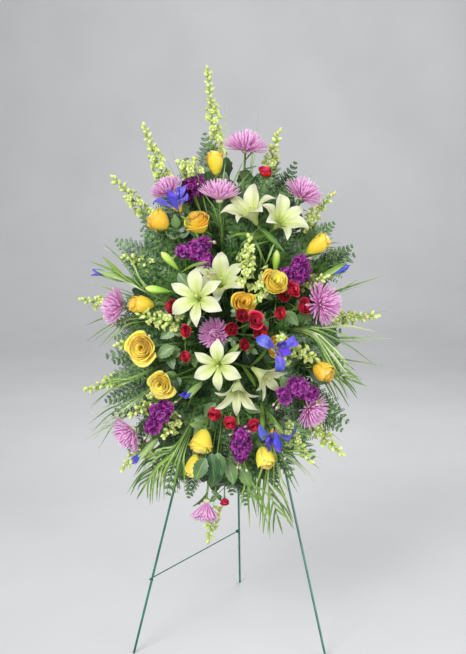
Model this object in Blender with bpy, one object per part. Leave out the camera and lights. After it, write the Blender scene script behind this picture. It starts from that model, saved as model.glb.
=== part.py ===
"""Standing funeral spray: cut flowers and foliage in a caged block of wet foam, held on a folding wire easel.

Metres, +Z up. The viewer stands at -Y, +X is to the viewer's right, and the feet stand on z = 0.
The easel's front legs lean back. The flowers are laid out on that leaning face, in its own axes:
right, up along the lean, and forward out of it, from the middle of the foam cage's back.
"""
import math
import random

import bmesh
import bpy
import numpy as np
from mathutils import Matrix, Vector
from mathutils.bvhtree import BVHTree

# Easel, all wire. The origin is on the floor under the middle of the whole, in front of the hinge
APEX_HEIGHT = 1.00
APEX_BACK = 0.074
FRONT_FOOT_X = 0.250
FRONT_FOOT_FORWARD = 0.240
FRONT_TOP_X = 0.014
REAR_FOOT_BACK = 0.260
LEG_RADIUS = 0.003
LEG_OVER = 0.005
LEG_SIDES = 8
WIRE_SIDES = 6
HINGE_RADIUS = 0.0025
HINGE_HALF = 0.0101
EYE_HOLE = 0.0031
EYE_RADIUS = 0.006
EYE_HALF = 0.004
EYE_SIDES = 10
REAR_WIRE_START = 0.0043
STAY_RADIUS = 0.0016
STAY_REAR_HEIGHT = 0.177
STAY_FRONT_HEIGHT = 0.186
STAY_SIDE = 0.0055
STAY_FINGER = 0.0075
STAY_CLEAR = 0.0012
STAY_BEND = 0.004
STAY_EYE_HOLE = 0.0020
STAY_EYE_RADIUS = 0.0052
STAY_EYE_HALF = 0.0015
STAY_EYE_SIDES = 8
STAY_WIRE_START = 0.0036
PEG_RADIUS = 0.0015
PEG_OVER = 0.0045
PEG_HEAD_RADIUS = 0.0034
PEG_HEAD_THICK = 0.0012
CROSS_RADIUS = 0.0025
CROSS_OVER = 0.010
PRONG_RADIUS = 0.0022
PRONG_X = 0.030
PRONG_RISE = 0.0044
GAP = 0.0003

# Foam and its cage, in the leaning face's axes
CAGE_DROP = 0.185
CAGE_HALF_X = 0.0590
CAGE_HALF_Y = 0.1180
CAGE_WALL = 0.0025
CAGE_BACK = 0.0035
CAGE_RIM = 0.0155
BAND_HALF = 0.004
BAND_THICK = 0.002
BAND_FOOT = 0.004
BAND_Y = 0.062
FOAM_FRONT = 0.084

# The spray's face is half an egg: how far its flowers reach, and how deep they stand
DOME_X = 0.42
DOME_UP = 0.72
DOME_DOWN = 0.58
DOME_DEPTH = 0.265
DOME_EDGE = 0.05

# Stems: the places in the foam that they point from, and how deep they stand
CM = 0.01
CLEAR = 0.0006
DRILL = 0.0006
HUB_SHARE = 0.3
LOOK_HUB_REACH = 0.08
LOOK_HUB_DEPTH = 0.03
STEM_HUB_REACH = 0.075
STEM_HUB_DEPTH = 0.045
STEM_DEPTH = 0.020
STEM_STRAIGHT = 0.004
BRANCH_SLIM = 0.8

# Leaves' stems lie in layers between the two slabs of foam, each kind's along a thin rail
RAIL_RADIUS = 0.0018
RAIL_REACH = 0.085
RAIL_PART = 0.010
LAYER_STEP = 0.004
GRASS_LAYER = 0.0188
FERN_LAYER = GRASS_LAYER + LAYER_STEP
PALM_LAYER = FERN_LAYER + LAYER_STEP
SPIKE_LAYER = PALM_LAYER + LAYER_STEP + 0.0002
FOAM_SPLIT_LOW = GRASS_LAYER - RAIL_RADIUS - GAP
FOAM_SPLIT_HIGH = SPIKE_LAYER + RAIL_RADIUS + GAP
LEAF_STEM = 0.0016
LEAF_STRAIGHT = 0.006
LEAF_BEND = 0.55
LEAF_ARCH = 0.02
FERN_RIB = 0.0034
FERN_STATIONS = 10
FERN_THICK = 0.0018
PALM_PAIRS = 4
SPIKE_STEP = 0.030
SPIKE_FLORET = 0.0098

LEAN = math.atan2(FRONT_FOOT_FORWARD, APEX_HEIGHT)
RIGHT = np.array((1.0, 0.0, 0.0))
UP = np.array((0.0, math.sin(LEAN), math.cos(LEAN)))
FORWARD = np.array((0.0, -math.cos(LEAN), math.sin(LEAN)))
APEX = np.array((0.0, APEX_BACK, APEX_HEIGHT))
FACE = APEX - CAGE_DROP * UP + (LEG_RADIUS + GAP) * FORWARD


def bloom(right, up, lift=0.0, look=None, spin=0.0):
    """A head's place on the face in cm, how far it stands out of the dome, and the way it looks."""
    return {"right": right * CM, "up": up * CM, "lift": lift * CM, "look": look, "spin": math.radians(spin)}


# How far each kind's middle stands before its stem's end, its stem's radius, and the straight stretch below it
KINDS = {
    "lily": (0.035, 0.0032, 0.06), "rose": (0.022, 0.0026, 0.05), "spray_rose": (0.012, 0.0016, 0.03),
    "iris": (0.030, 0.0026, 0.05), "iris_bud": (0.020, 0.0026, 0.05), "stock": (0.030, 0.0026, 0.05),
    "spider_mum": (0.010, 0.0026, 0.05),
}

# Heads, each list from the top of the spray down
YELLOW_ROSES = [
    bloom(-3.5, 40.5, -4, (-0.1, 1.0, 0.45)), bloom(-17.5, 26), bloom(-7, 24.5, -2, (-0.25, 0.5, 0.7)),
    bloom(21.5, 20.5), bloom(-21.5, 5, 0, (-0.9, 0.0, 0.4)), bloom(-20.5, -5.5), bloom(-16, -14.5),
    bloom(4.5, 6, 0), bloom(10.5, 10.5, 1), bloom(23.5, -11), bloom(12, -5, -3), bloom(-6.5, -28),
    bloom(-7, -34, -1), bloom(9, -31.5),
]
LILY_STEMS = [
    {"blooms": [bloom(-8.5, 7, 2, (-0.15, 0.2, 1.0)), bloom(-0.5, 12.5, -6, (0.35, 0.5, 0.8))],
     "buds": [bloom(-15, 16, 0, (-0.6, 0.6, 0.45)), bloom(-18, 8.5, 0, (-0.95, 0.1, 0.3))]},
    {"blooms": [bloom(5, 29, 0, (-0.45, 0.75, 0.45)), bloom(13, 28.5, 0, (0.5, 0.7, 0.5))],
     "buds": [bloom(11.5, 16.5, -4, (0.05, 0.9, 0.4))]},
    {"blooms": [bloom(-3, -10.5, 1, (-0.1, -0.15, 1.0)), bloom(2.5, -16.5, 0, (0.05, -0.75, 0.6)),
                bloom(9, -13.5, -3, (0.7, -0.5, 0.5))], "buds": []},
]
SPIDER_MUMS = [
    bloom(4, 46), bloom(-15, 34), bloom(-2.5, 32, 1, (0.0, 0.9, 0.35)), bloom(18.5, 35), bloom(-29, 4.5),
    bloom(23, 5.5, 0, (0.8, 0.1, 0.55)), bloom(-3.5, -2, -8), bloom(-25.5, -27), bloom(20.5, -20.5, -2),
    bloom(-6, -46, 0, (-0.1, -1.0, 0.3)),
]
IRISES = [bloom(-12, 30, 6, (-0.35, 0.8, 0.5)), bloom(11, -5.5, 6), bloom(12, -26.5, 0, (0.3, -0.8, 0.5))]
IRIS_BUDS = [bloom(-33, 14), bloom(28, 15), bloom(-10, -16.5, 1), bloom(-23, -33)]
STOCKS = [bloom(-8.5, 18.5, -2), bloom(-10, 35, -3), bloom(17.5, 14), bloom(-17, -22.5), bloom(17.5, -15.5),
          bloom(3.5, -29.5)]
RED_SPRAYS = [
    [bloom(8.5, 38)],
    [bloom(-15, 4, -4), bloom(-10, -2, 1), bloom(-12.5, -7, 0)],
    [bloom(0, -2.2, 1), bloom(2.6, 0.8, 3), bloom(6.8, 0.6, 3), bloom(8.5, -3, 1), bloom(4, -5)],
    [bloom(16.5, 9.5), bloom(13, 6.5, -2), bloom(12.5, 2.5, 1), bloom(19, 4.5)],
    [bloom(-3, -21.5), bloom(0.8, -23.5, 1), bloom(6.5, -24)],
    [bloom(-0.5, -43.5, 0, (0.1, -1.0, 0.5))],
]

# Spikes and leaves: the tip's place on the face in cm, right, up and forward, and the flowered length
SPIKES_ABOVE = [
    (-8, 71, 5, 24), (-24, 54, 11, 16), (-32, 40, 12, 14), (-12.5, 40.5, 21, 8), (12, 50.5, 19, 12),
    (26, 34.5, 18, 12), (-40, 7.5, 11, 9), (4.5, 19.5, 26, 8), (24.5, 12.5, 24, 9), (-28, 17.5, 20, 8),
    (38, 3.5, 14, 14),
]
SPIKES_BELOW = [
    (-38.5, -16.5, 11, 14), (-29, -5, 20, 9), (-28, -37, 13, 10), (16, -6.5, 27, 6), (21, -34, 18, 13),
    (29, -32, 15, 11), (-25, -23, 20, 8), (-16, -28, 23, 8), (-5, -55, 12, 9),
]
FERNS = [
    (-24, 30, 13, 20), (-30, -9, 13, 18), (-8, 52, 8, 22), (16, 44, 9, 20), (31, 22, 9, 18), (28, -20, 10, 18),
    (-20, -36, 10, 18), (12, -40, 11, 18),
]
PALMS = [
    (-26, -47, 7, 24), (14, -53, 9, 26), (34, -14, 12, 22),
]
GRASSES = [
    (-39, 18, 10), (-38, 12, 12), (-34, 21, 9), (-37, -18, 10), (-38, -23, 9), (-38, -29, 8), (39, 14, 12),
    (40, 5, 11), (41, -2, 10), (39, -9, 10), (22, -38, 12), (28, -28, 12), (-3, 60, 5), (6, 57, 6),
    (-17, 48, 7), (21, 42, 8),
]

COLOURS = {
    "easel": ((0.02, 0.16, 0.15), 0.35, 0.6), "cage": ((0.03, 0.12, 0.06), 0.5, 0.0),
    "foam": ((0.04, 0.15, 0.07), 0.95, 0.0), "yellow": ((0.95, 0.52, 0.08), 0.55, 0.0),
    "white": ((0.86, 0.88, 0.66), 0.5, 0.0), "pink": ((0.62, 0.22, 0.42), 0.55, 0.0),
    "violet": ((0.16, 0.13, 0.55), 0.5, 0.0), "purple": ((0.30, 0.03, 0.26), 0.6, 0.0),
    "red": ((0.50, 0.02, 0.05), 0.5, 0.0), "lime": ((0.52, 0.66, 0.20), 0.55, 0.0),
    "fern": ((0.04, 0.13, 0.08), 0.6, 0.0), "palm": ((0.14, 0.32, 0.07), 0.5, 0.0),
    "grass": ((0.30, 0.45, 0.18), 0.5, 0.0),
}


def clear_scene():
    """Start from an empty scene."""
    for item in list(bpy.data.objects):
        bpy.data.objects.remove(item, do_unlink=True)
    for mesh in list(bpy.data.meshes):
        bpy.data.meshes.remove(mesh)


def material(name):
    """One Principled material in a named colour."""
    made = bpy.data.materials.new(name)
    made.use_nodes = True
    colour, roughness, metallic = COLOURS[name.rsplit("__", 1)[-1]]
    shader = made.node_tree.nodes["Principled BSDF"]
    shader.inputs["Base Color"].default_value = (*colour, 1.0)
    shader.inputs["Roughness"].default_value = roughness
    shader.inputs["Metallic"].default_value = metallic
    made.diffuse_color = (*colour, 1.0)
    return made


def unit(vector):
    vector = np.asarray(vector, float)
    return vector / np.linalg.norm(vector)


# Closed pieces are pairs of a point array and a face list
def moved(piece, turn, shift):
    """A piece turned by a 3 x 3 matrix and shifted."""
    points, faces = piece
    return points @ np.asarray(turn).T + np.asarray(shift), faces


def ring_around(centre, across, over, radius, sides, start=0.0):
    angles = start + np.arange(sides) * math.tau / sides
    return centre + radius * (np.cos(angles)[:, None] * across + np.sin(angles)[:, None] * over)


def stacked(rings, closed_start=None, closed_end=None):
    """Rings of equal count joined into a closed skin; an end is a point or a flat cap."""
    sides = len(rings[0])
    points = [point for ring in rings for point in ring]
    faces = []
    for low in range(len(rings) - 1):
        for k in range(sides):
            a = low * sides + k
            b = low * sides + (k + 1) % sides
            faces.append((a, b, b + sides))
            faces.append((a, b + sides, a + sides))
    if closed_start is None:
        faces += [(0, k + 1, k) for k in range(1, sides - 1)]
    else:
        points.append(closed_start)
        faces += [(len(points) - 1, (k + 1) % sides, k) for k in range(sides)]
    top = (len(rings) - 1) * sides
    if closed_end is None:
        faces += [(top, top + k, top + k + 1) for k in range(1, sides - 1)]
    else:
        points.append(closed_end)
        faces += [(len(points) - 1, top + k, top + (k + 1) % sides) for k in range(sides)]
    return np.array(points, float), faces


def tube(path, radii, sides=3):
    """A round bar along a path, its rings square to the path's bisectors."""
    path = np.asarray(path, float)
    radii = np.broadcast_to(radii, len(path))
    steps = np.diff(path, axis=0)
    steps /= np.linalg.norm(steps, axis=1)[:, None]
    normals = np.vstack((steps[:1], steps[:-1] + steps[1:], steps[-1:]))
    normals /= np.linalg.norm(normals, axis=1)[:, None]
    side = np.cross(steps[0], (0.0, 0.0, 1.0))
    if np.linalg.norm(side) < 0.1:
        side = np.cross(steps[0], (0.0, 1.0, 0.0))
    rings = []
    for point, normal, radius in zip(path, normals, radii):
        side = unit(side - normal * (side @ normal))
        rings.append(ring_around(point, side, np.cross(normal, side), radius, sides))
    return stacked(rings)


def blade(path, half_widths, inward, cup, thick, side, sweep=None):
    """A lens-section blade: at each station a left edge, an upper rib, a right edge and a lower rib.

    The edges stand cup times the half width towards the inward side of the ribs, and sweep, one value a
    station, moves them along the blade. Both faces are split alike, so a waved blade keeps its thickness.
    A half width of nought closes an end to a point.
    """
    path = np.asarray(path, float)
    inward = np.broadcast_to(inward, path.shape)
    side = np.broadcast_to(side, path.shape)
    stations = []
    ends = [None, None]
    for k, half in enumerate(half_widths):
        if half == 0:
            ends[0 if k == 0 else 1] = path[k]
            continue
        edge = path[k] + inward[k] * cup * half
        if sweep is not None:
            edge = edge + sweep[k]
        rib = inward[k] * thick / 2
        stations.append((edge - side[k] * half, path[k] - rib, edge + side[k] * half, path[k] + rib))
    points = [point for station in stations for point in station]
    faces = []
    for low in range(len(stations) - 1):
        for k in range(4):
            a, b = 4 * low + k, 4 * low + (k + 1) % 4
            if k % 2 == 0:
                faces += [(a, b, b + 4), (a, b + 4, a + 4)]
            else:
                faces += [(a, b, a + 4), (b, b + 4, a + 4)]
    if ends[0] is None:
        faces += [(0, 3, 1), (1, 3, 2)]
    else:
        points.append(ends[0])
        faces += [(len(points) - 1, (k + 1) % 4, k) for k in range(4)]
    top = 4 * (len(stations) - 1)
    if ends[1] is None:
        faces += [(top, top + 1, top + 3), (top + 1, top + 2, top + 3)]
    else:
        points.append(ends[1])
        faces += [(len(points) - 1, top + k, top + (k + 1) % 4) for k in range(4)]
    return np.array(points, float), faces


def grown(rings, end, petals):
    """A stack of rings in which chosen quads are drawn out into petals, so that it stays one skin.

    petals gives, for a band between two rings and a side of it, the petal's four-point sections and its tip.
    A section's points run left, below, right, above, as the quad's corners do, and both faces split alike.
    """
    sides = len(rings[0])
    points = [point for ring in rings for point in ring]
    faces = [(0, k + 1, k) for k in range(1, sides - 1)]

    def join(low, high):
        for k in range(4):
            n = (k + 1) % 4
            if k % 2 == 0:
                faces.extend(((low[k], low[n], high[n]), (low[k], high[n], high[k])))
            else:
                faces.extend(((low[k], low[n], high[k]), (low[n], high[n], high[k])))

    for band in range(len(rings) - 1):
        for k in range(sides):
            a, b = band * sides + k, band * sides + (k + 1) % sides
            quad = (a, b, b + sides, a + sides)
            if (band, k) not in petals:
                faces.extend(((quad[0], quad[1], quad[2]), (quad[0], quad[2], quad[3])))
                continue
            sections, tip = petals[(band, k)]
            low = quad
            for section in sections:
                high = tuple(range(len(points), len(points) + 4))
                points.extend(section)
                join(low, high)
                low = high
            points.append(tip)
            faces.extend((low[j], low[(j + 1) % 4], len(points) - 1) for j in range(4))
    top = (len(rings) - 1) * sides
    if end is None:
        faces += [(top, top + k, top + k + 1) for k in range(1, sides - 1)]
    else:
        points.append(end)
        faces += [(len(points) - 1, top + k, top + (k + 1) % sides) for k in range(sides)]
    return np.array(points, float), faces


def petal(angle, stations, cup, thick=0.0022):
    """Sections and tip of a petal that leaves the flower's axis at an angle.

    A station is (radius, height, half width) and the last has no width. The edges stand cup times the half
    width towards the axis, or up where the petal lies flat.
    """
    outwards = np.array((math.cos(angle), math.sin(angle), 0.0))
    side = np.array((-math.sin(angle), math.cos(angle), 0.0))
    path = np.array([outwards * radius + (0, 0, height) for radius, height, half in stations])
    run = np.gradient(path, axis=0)
    run /= np.linalg.norm(run, axis=1)[:, None]
    inward = np.cross(run, side)
    sections = []
    for point, face, (radius, height, half) in zip(path[:-1], inward, stations):
        edge = point + face * cup * half
        sections.append((edge - side * half, point - face * thick / 2, edge + side * half,
                         point + face * thick / 2))
    return sections, path[-1]


def turned(profile, sides):
    """Rings of a profile of (radius, height) round +Z."""
    x, y, z = np.eye(3)
    return [ring_around(z * height, x, y, radius, sides) for radius, height in profile]


def middle_of(k, sides):
    """The angle of the middle of a ring's side."""
    return (k + 0.5) * math.tau / sides


# Flower heads, each about its own +Z with the stem's end at the origin
def rose():
    """A half-open rose: a closed bud, three petals that stand close to it and three that open round them."""
    wide, tall = 0.026, 0.046
    petals = {}
    for k in (1, 3, 5):
        petals[(0, k)] = petal(middle_of(k, 6), [(0.84 * wide, 0.20 * tall, 0.58 * wide),
                                                 (1.12 * wide, 0.60 * tall, 0.72 * wide),
                                                 (1.40 * wide, 0.78 * tall, 0)], 0.34)
    for k in (0, 2, 4):
        petals[(1, k)] = petal(middle_of(k, 6), [(0.86 * wide, 0.48 * tall, 0.70 * wide),
                                                 (0.84 * wide, 0.84 * tall, 0.52 * wide),
                                                 (0.72 * wide, 1.02 * tall, 0)], 0.42)
    rings = turned([(0.003, -0.004), (0.34 * wide, 0.06 * tall), (0.52 * wide, 0.26 * tall),
                    (0.46 * wide, 0.82 * tall)], 6)
    return [grown(rings, (0, 0, 0.96 * tall), petals)]


def spray_rose():
    """A small rose: a bud and four outer petals."""
    wide, tall = 0.015, 0.027
    petals = {}
    for k in range(4):
        petals[(0, k)] = petal(middle_of(k, 4), [(1.10 * wide, 0.56 * tall, 0.74 * wide),
                                                 (1.30 * wide, 0.92 * tall, 0)], 0.38, 0.0020)
    rings = turned([(0.0018, -0.003), (0.50 * wide, 0.22 * tall), (0.50 * wide, 0.84 * tall)], 4)
    return [grown(rings, (0, 0, 0.98 * tall), petals)]


def lily():
    """Six recurved petals, three broad and three narrow, from a narrow green throat."""
    petals = {}
    for k in range(6):
        half, drop = (0.020, 0.0) if k % 2 else (0.0155, -0.003)
        petals[(1, k)] = petal(middle_of(k, 6), [(0.022, 0.038 + drop, 0.46 * half),
                                                 (0.054, 0.052 + drop, half), (0.080, 0.034 + drop, 0)], 0.22)
    rings = turned([(0.003, -0.006), (0.0055, 0.006), (0.0065, 0.014)], 6)
    return [grown(rings, (0, 0, 0.010), petals)]


def lily_bud():
    """A long bud, widest past its middle."""
    return [grown(turned([(0.002, -0.004), (0.007, 0.012), (0.010, 0.036)], 5), (0, 0, 0.058), {})]


def split_octahedron():
    """The unit octahedron with each face split in four: 18 points and 32 faces."""
    points = [(0, 0, 1), (1, 0, 0), (0, 1, 0), (-1, 0, 0), (0, -1, 0), (0, 0, -1)]
    coarse = [(0, k, k % 4 + 1) for k in range(1, 5)] + [(5, k % 4 + 1, k) for k in range(1, 5)]
    middles = {}
    faces = []

    def middle(a, b):
        key = (min(a, b), max(a, b))
        if key not in middles:
            middles[key] = len(points)
            points.append(tuple(unit(np.add(points[a], points[b]))))
        return middles[key]

    for a, b, c in coarse:
        ab, bc, ca = middle(a, b), middle(b, c), middle(c, a)
        faces += [(a, ab, ca), (b, bc, ab), (c, ca, bc), (ab, bc, ca)]
    return np.array(points, float), faces


def spider_mum(head):
    """Long thin florets drawn out of the faces of a small round core, their tips curled up."""
    draw = random.Random(round(1000 * (head["right"] + 3 * head["up"])))
    core, faces = split_octahedron()
    core = core * 0.011 + np.array((0, 0, 0.010))
    points = [tuple(point) for point in core]
    skin = []
    for face in faces:
        middle = core[list(face)].mean(axis=0)
        way = unit(middle - (0, 0, 0.006))
        if way[2] < -0.12:
            skin.append(face)
            continue
        reach = 0.050 + 0.010 * draw.random()
        curl = np.array((0, 0, 0.010 + 0.008 * draw.random()))
        bend = np.cross(way, (0, 0, 1)) * draw.uniform(-0.006, 0.006)
        waist = middle + way * reach * 0.45 + bend
        base = len(points)
        for corner in face:
            points.append(tuple(waist + (core[corner] - middle) * 0.32))
        points.append(tuple(middle + way * reach + curl))
        for k in range(3):
            n = (k + 1) % 3
            skin.append((face[k], face[n], base + n))
            skin.append((face[k], base + n, base + k))
            skin.append((base + k, base + n, base + 3))
    return [(np.array(points), skin)]


def iris():
    """Three falls that arch out and down and three upright standards, on a slim tube."""
    petals = {}
    for k in (1, 3, 5):
        petals[(1, k)] = petal(middle_of(k, 6), [(0.014, 0.026, 0.006), (0.034, 0.038, 0.013),
                                                 (0.048, 0.028, 0.012), (0.055, 0.014, 0)], 0.12)
    for k in (0, 2, 4):
        petals[(2, k)] = petal(middle_of(k, 6), [(0.010, 0.034, 0.008), (0.017, 0.056, 0.010),
                                                 (0.021, 0.070, 0)], 0.25)
    rings = turned([(0.0025, -0.014), (0.0042, 0.0), (0.0045, 0.010), (0.0040, 0.020)], 6)
    return [grown(rings, (0, 0, 0.026), petals)]


def iris_bud():
    """A furled bud with one petal standing away, in its green sheath."""
    petals = {(2, 0): petal(middle_of(0, 5), [(0.0135, 0.042, 0.008), (0.016, 0.062, 0)], 0.4)}
    rings = turned([(0.0025, -0.030), (0.0062, -0.010), (0.0078, 0.014), (0.0085, 0.030)], 5)
    return [grown(rings, (0, 0, 0.066), petals)]


def stock():
    """A short full spike: each side of its core opens into a four-petalled floret with a sunk middle."""
    sides = 5
    profile = [(0.003, -0.006), (0.009, 0.002), (0.0105, 0.019), (0.0095, 0.036), (0.006, 0.050)]
    petals = {}
    for band, rise, half in ((1, 0.0, 0.0110), (2, 0.3, 0.0110), (3, 0.9, 0.0080)):
        for k in range(sides):
            around = middle_of(k, sides)
            radius = (profile[band][0] + profile[band + 1][0]) / 2
            height = (profile[band][1] + profile[band + 1][1]) / 2
            out = np.array((math.cos(around), math.sin(around), 0.0))
            side = np.array((-math.sin(around), math.cos(around), 0.0))
            way = unit(out + (0, 0, rise))
            up = np.cross(way, side)
            heart = out * radius + (0, 0, height) + way * 0.005
            open_at = heart + way * 0.007
            wide, tall = side * 0.82 * half, up * 0.56 * half
            petals[(band, k)] = ([(open_at - wide - tall, open_at + wide - tall, open_at + wide + tall,
                                   open_at - wide + tall)], heart)
    return [grown(turned(profile, sides), (0, 0, 0.056), petals)]


def turn_to(way, spin=0.0):
    """The rotation that takes +Z to a direction, after a spin about it."""
    z = unit(way)
    helper = (0.0, 1.0, 0.0) if abs(z[1]) < 0.9 else (1.0, 0.0, 0.0)
    x = unit(np.cross(helper, z))
    y = np.cross(z, x)
    turned_x = x * math.cos(spin) + y * math.sin(spin)
    return np.stack((turned_x, np.cross(z, turned_x), z), axis=1)


# Places on the leaning face
def dome(right, up):
    """How far forward the spray's round face stands at a place."""
    reach = DOME_UP if up > 0 else DOME_DOWN
    fall = (right / DOME_X) ** 2 + (up / reach) ** 2
    return DOME_EDGE + (DOME_DEPTH - DOME_EDGE) * math.sqrt(max(0.0, 1 - fall))


def pose(head, back):
    """A head's base and rotation: its middle stands on the dome, its base lies back along its look."""
    centre = np.array((head["right"], head["up"], dome(head["right"], head["up"]) + head["lift"]))
    hub = np.array((0.0, np.clip(HUB_SHARE * head["up"], -LOOK_HUB_REACH, LOOK_HUB_REACH), LOOK_HUB_DEPTH))
    look = unit(head["look"]) if head["look"] is not None else unit(centre - hub)
    return centre - look * back, turn_to(look, head["spin"]), look


def bezier(start, middle, end, steps):
    t = np.linspace(0, 1, steps + 1)[:, None]
    return (1 - t) ** 2 * start + 2 * t * (1 - t) * middle + t ** 2 * end


# What is placed already, as trees of faces with their boxes, on the leaning face
placed = []


def tree_of(pieces):
    points = np.vstack([piece[0] for piece in pieces])
    faces = []
    base = 0
    for piece_points, piece_faces in pieces:
        faces += [tuple(index + base for index in face) for face in piece_faces]
        base += len(piece_points)
    tree = BVHTree.FromPolygons([Vector(point) for point in points], faces)
    return tree, points.min(axis=0), points.max(axis=0)


def hits(pieces, skip=()):
    """How many of the things already placed these pieces would cross."""
    tree, low, high = tree_of(pieces)
    count = 0
    for name, other, other_low, other_high in placed:
        if name in skip or np.any(low > other_high) or np.any(high < other_low):
            continue
        if tree.overlap(other):
            count += 1
    return count


def settle(name, pieces):
    tree, low, high = tree_of(pieces)
    placed.append((name, tree, low, high))


def foam_exit(hub, target):
    """Where the line from a hub in the foam to a target leaves the foam."""
    way = unit(target - hub)
    high = np.array((CAGE_HALF_X - CAGE_WALL, CAGE_HALF_Y - CAGE_WALL, FOAM_FRONT))
    low = np.array((-high[0], -high[1], CAGE_BACK))
    with np.errstate(divide="ignore"):
        steps = np.where(way > 0, (high - hub) / way, np.where(way < 0, (low - hub) / way, np.inf))
    return hub + way * steps.min(), way


ROUTE_TRIES = [
    (dx, dy, swing, bow) for swing in (0, -0.02, 0.02, -0.04, 0.04) for bow in (0, -0.02, 0.02, -0.05)
    for dx in (0, -0.012, 0.012, -0.024, 0.024) for dy in (0, -0.012, 0.012, -0.024, 0.024, -0.04, 0.04)
]


def stem_route(base, look, radius, lead, name):
    """The first way from the foam to a head's base that crosses nothing placed before it."""
    best = None
    for dx, dy, swing, bow in ROUTE_TRIES:
        up = np.clip(HUB_SHARE * base[1], -STEM_HUB_REACH, STEM_HUB_REACH)
        hub = np.array((dx, up + dy, STEM_HUB_DEPTH))
        elbow = base - look * lead
        leave, way = foam_exit(hub, elbow)
        start = leave - way * STEM_DEPTH
        outside = leave + way * STEM_STRAIGHT
        middle = elbow + np.array((swing, 0, bow))
        path = np.vstack((start, bezier(outside, middle, base, 2)))
        crossed = hits([tube(path, radius + CLEAR)], (name,))
        if best is None or crossed < best[0]:
            best = (crossed, path)
        if crossed == 0:
            break
    return best[1]


# Building objects
spray = None
drills = []


def mesh_from(pieces, name):
    mesh = bpy.data.meshes.new(name)
    points = np.vstack([piece[0] for piece in pieces])
    faces = []
    base = 0
    for piece_points, piece_faces in pieces:
        faces += [tuple(index + base for index in face) for face in piece_faces]
        base += len(piece_points)
    mesh.from_pydata([tuple(point) for point in points], [], faces)
    mesh.validate()
    return mesh


def fused(name, pieces):
    """One mesh of the pieces' union, by a Boolean on a collection, then applied."""
    first = bpy.data.objects.new(name, mesh_from(pieces[:1], name))
    bpy.context.scene.collection.objects.link(first)
    if len(pieces) == 1:
        return first
    others = bpy.data.collections.new(name + "_pieces")
    bpy.context.scene.collection.children.link(others)
    for k, piece in enumerate(pieces[1:]):
        others.objects.link(bpy.data.objects.new(f"{name}_{k}", mesh_from([piece], name)))
    join = first.modifiers.new("join", "BOOLEAN")
    join.operation = "UNION"
    join.operand_type = "COLLECTION"
    join.collection = others
    join.solver = "MANIFOLD"
    bpy.context.view_layer.update()
    result = bpy.data.meshes.new_from_object(first.evaluated_get(bpy.context.evaluated_depsgraph_get()))
    first.modifiers.clear()
    first.data = result
    for item in list(others.objects):
        bpy.data.objects.remove(item, do_unlink=True)
    bpy.data.collections.remove(others)
    return first


def add(name, pieces, colour, location=(0, 0, 0), turn=None, parent=None):
    """A named object of fused pieces, placed by its location and rotation under its parent."""
    item = fused(name, pieces)
    item.data.materials.clear()
    item.data.materials.append(material(f"{name}__{colour}"))
    item.parent = parent
    item.location = location
    if turn is not None:
        item.rotation_euler = Matrix(turn.tolist()).to_euler()
    return item


# The easel
def flat_foot(piece, floor=0.0):
    """Slide a leg's first ring along the leg until it lies on the floor."""
    points, faces = piece
    low, high = points[:LEG_SIDES], points[LEG_SIDES:2 * LEG_SIDES]
    along = unit(high.mean(axis=0) - low.mean(axis=0))
    slid = low - along * ((low[:, 2] - floor) / along[2])[:, None]
    return np.vstack((slid, points[LEG_SIDES:])), faces


def washer(centre, axis, hole, radius, half, sides):
    """A ring with a plain hole, turned round an axis."""
    axis = unit(axis)
    across = unit(np.cross(axis, (0.3, 0.5, 0.8)))
    over = np.cross(axis, across)
    corners = ((radius, -half), (radius, half), (hole, half), (hole, -half))
    rings = [ring_around(centre + axis * z, across, over, r, sides) for r, z in corners]
    points = np.vstack(rings)
    faces = []
    for low in range(4):
        high = (low + 1) % 4
        for k in range(sides):
            n = (k + 1) % sides
            faces.append((low * sides + k, low * sides + n, high * sides + n))
            faces.append((low * sides + k, high * sides + n, high * sides + k))
    return points, faces


def on_face(right, up, forward):
    """World place of a place on the leaning face."""
    return FACE + right * RIGHT + up * UP + forward * FORWARD


def rear_leg_at(height):
    return np.array((0.0, APEX_BACK + REAR_FOOT_BACK * (1 - height / APEX_HEIGHT), height))


def left_leg_at(height):
    share = 1 - height / APEX_HEIGHT
    out = FRONT_TOP_X + (FRONT_FOOT_X - FRONT_TOP_X) * share
    return np.array((-out, APEX_BACK - FRONT_FOOT_FORWARD * share, height))


def empty(name, location=(0, 0, 0), turn=None):
    item = bpy.data.objects.new(name, None)
    bpy.context.scene.collection.objects.link(item)
    item.location = location
    if turn is not None:
        item.rotation_euler = Matrix(turn.tolist()).to_euler()
    return item


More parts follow.
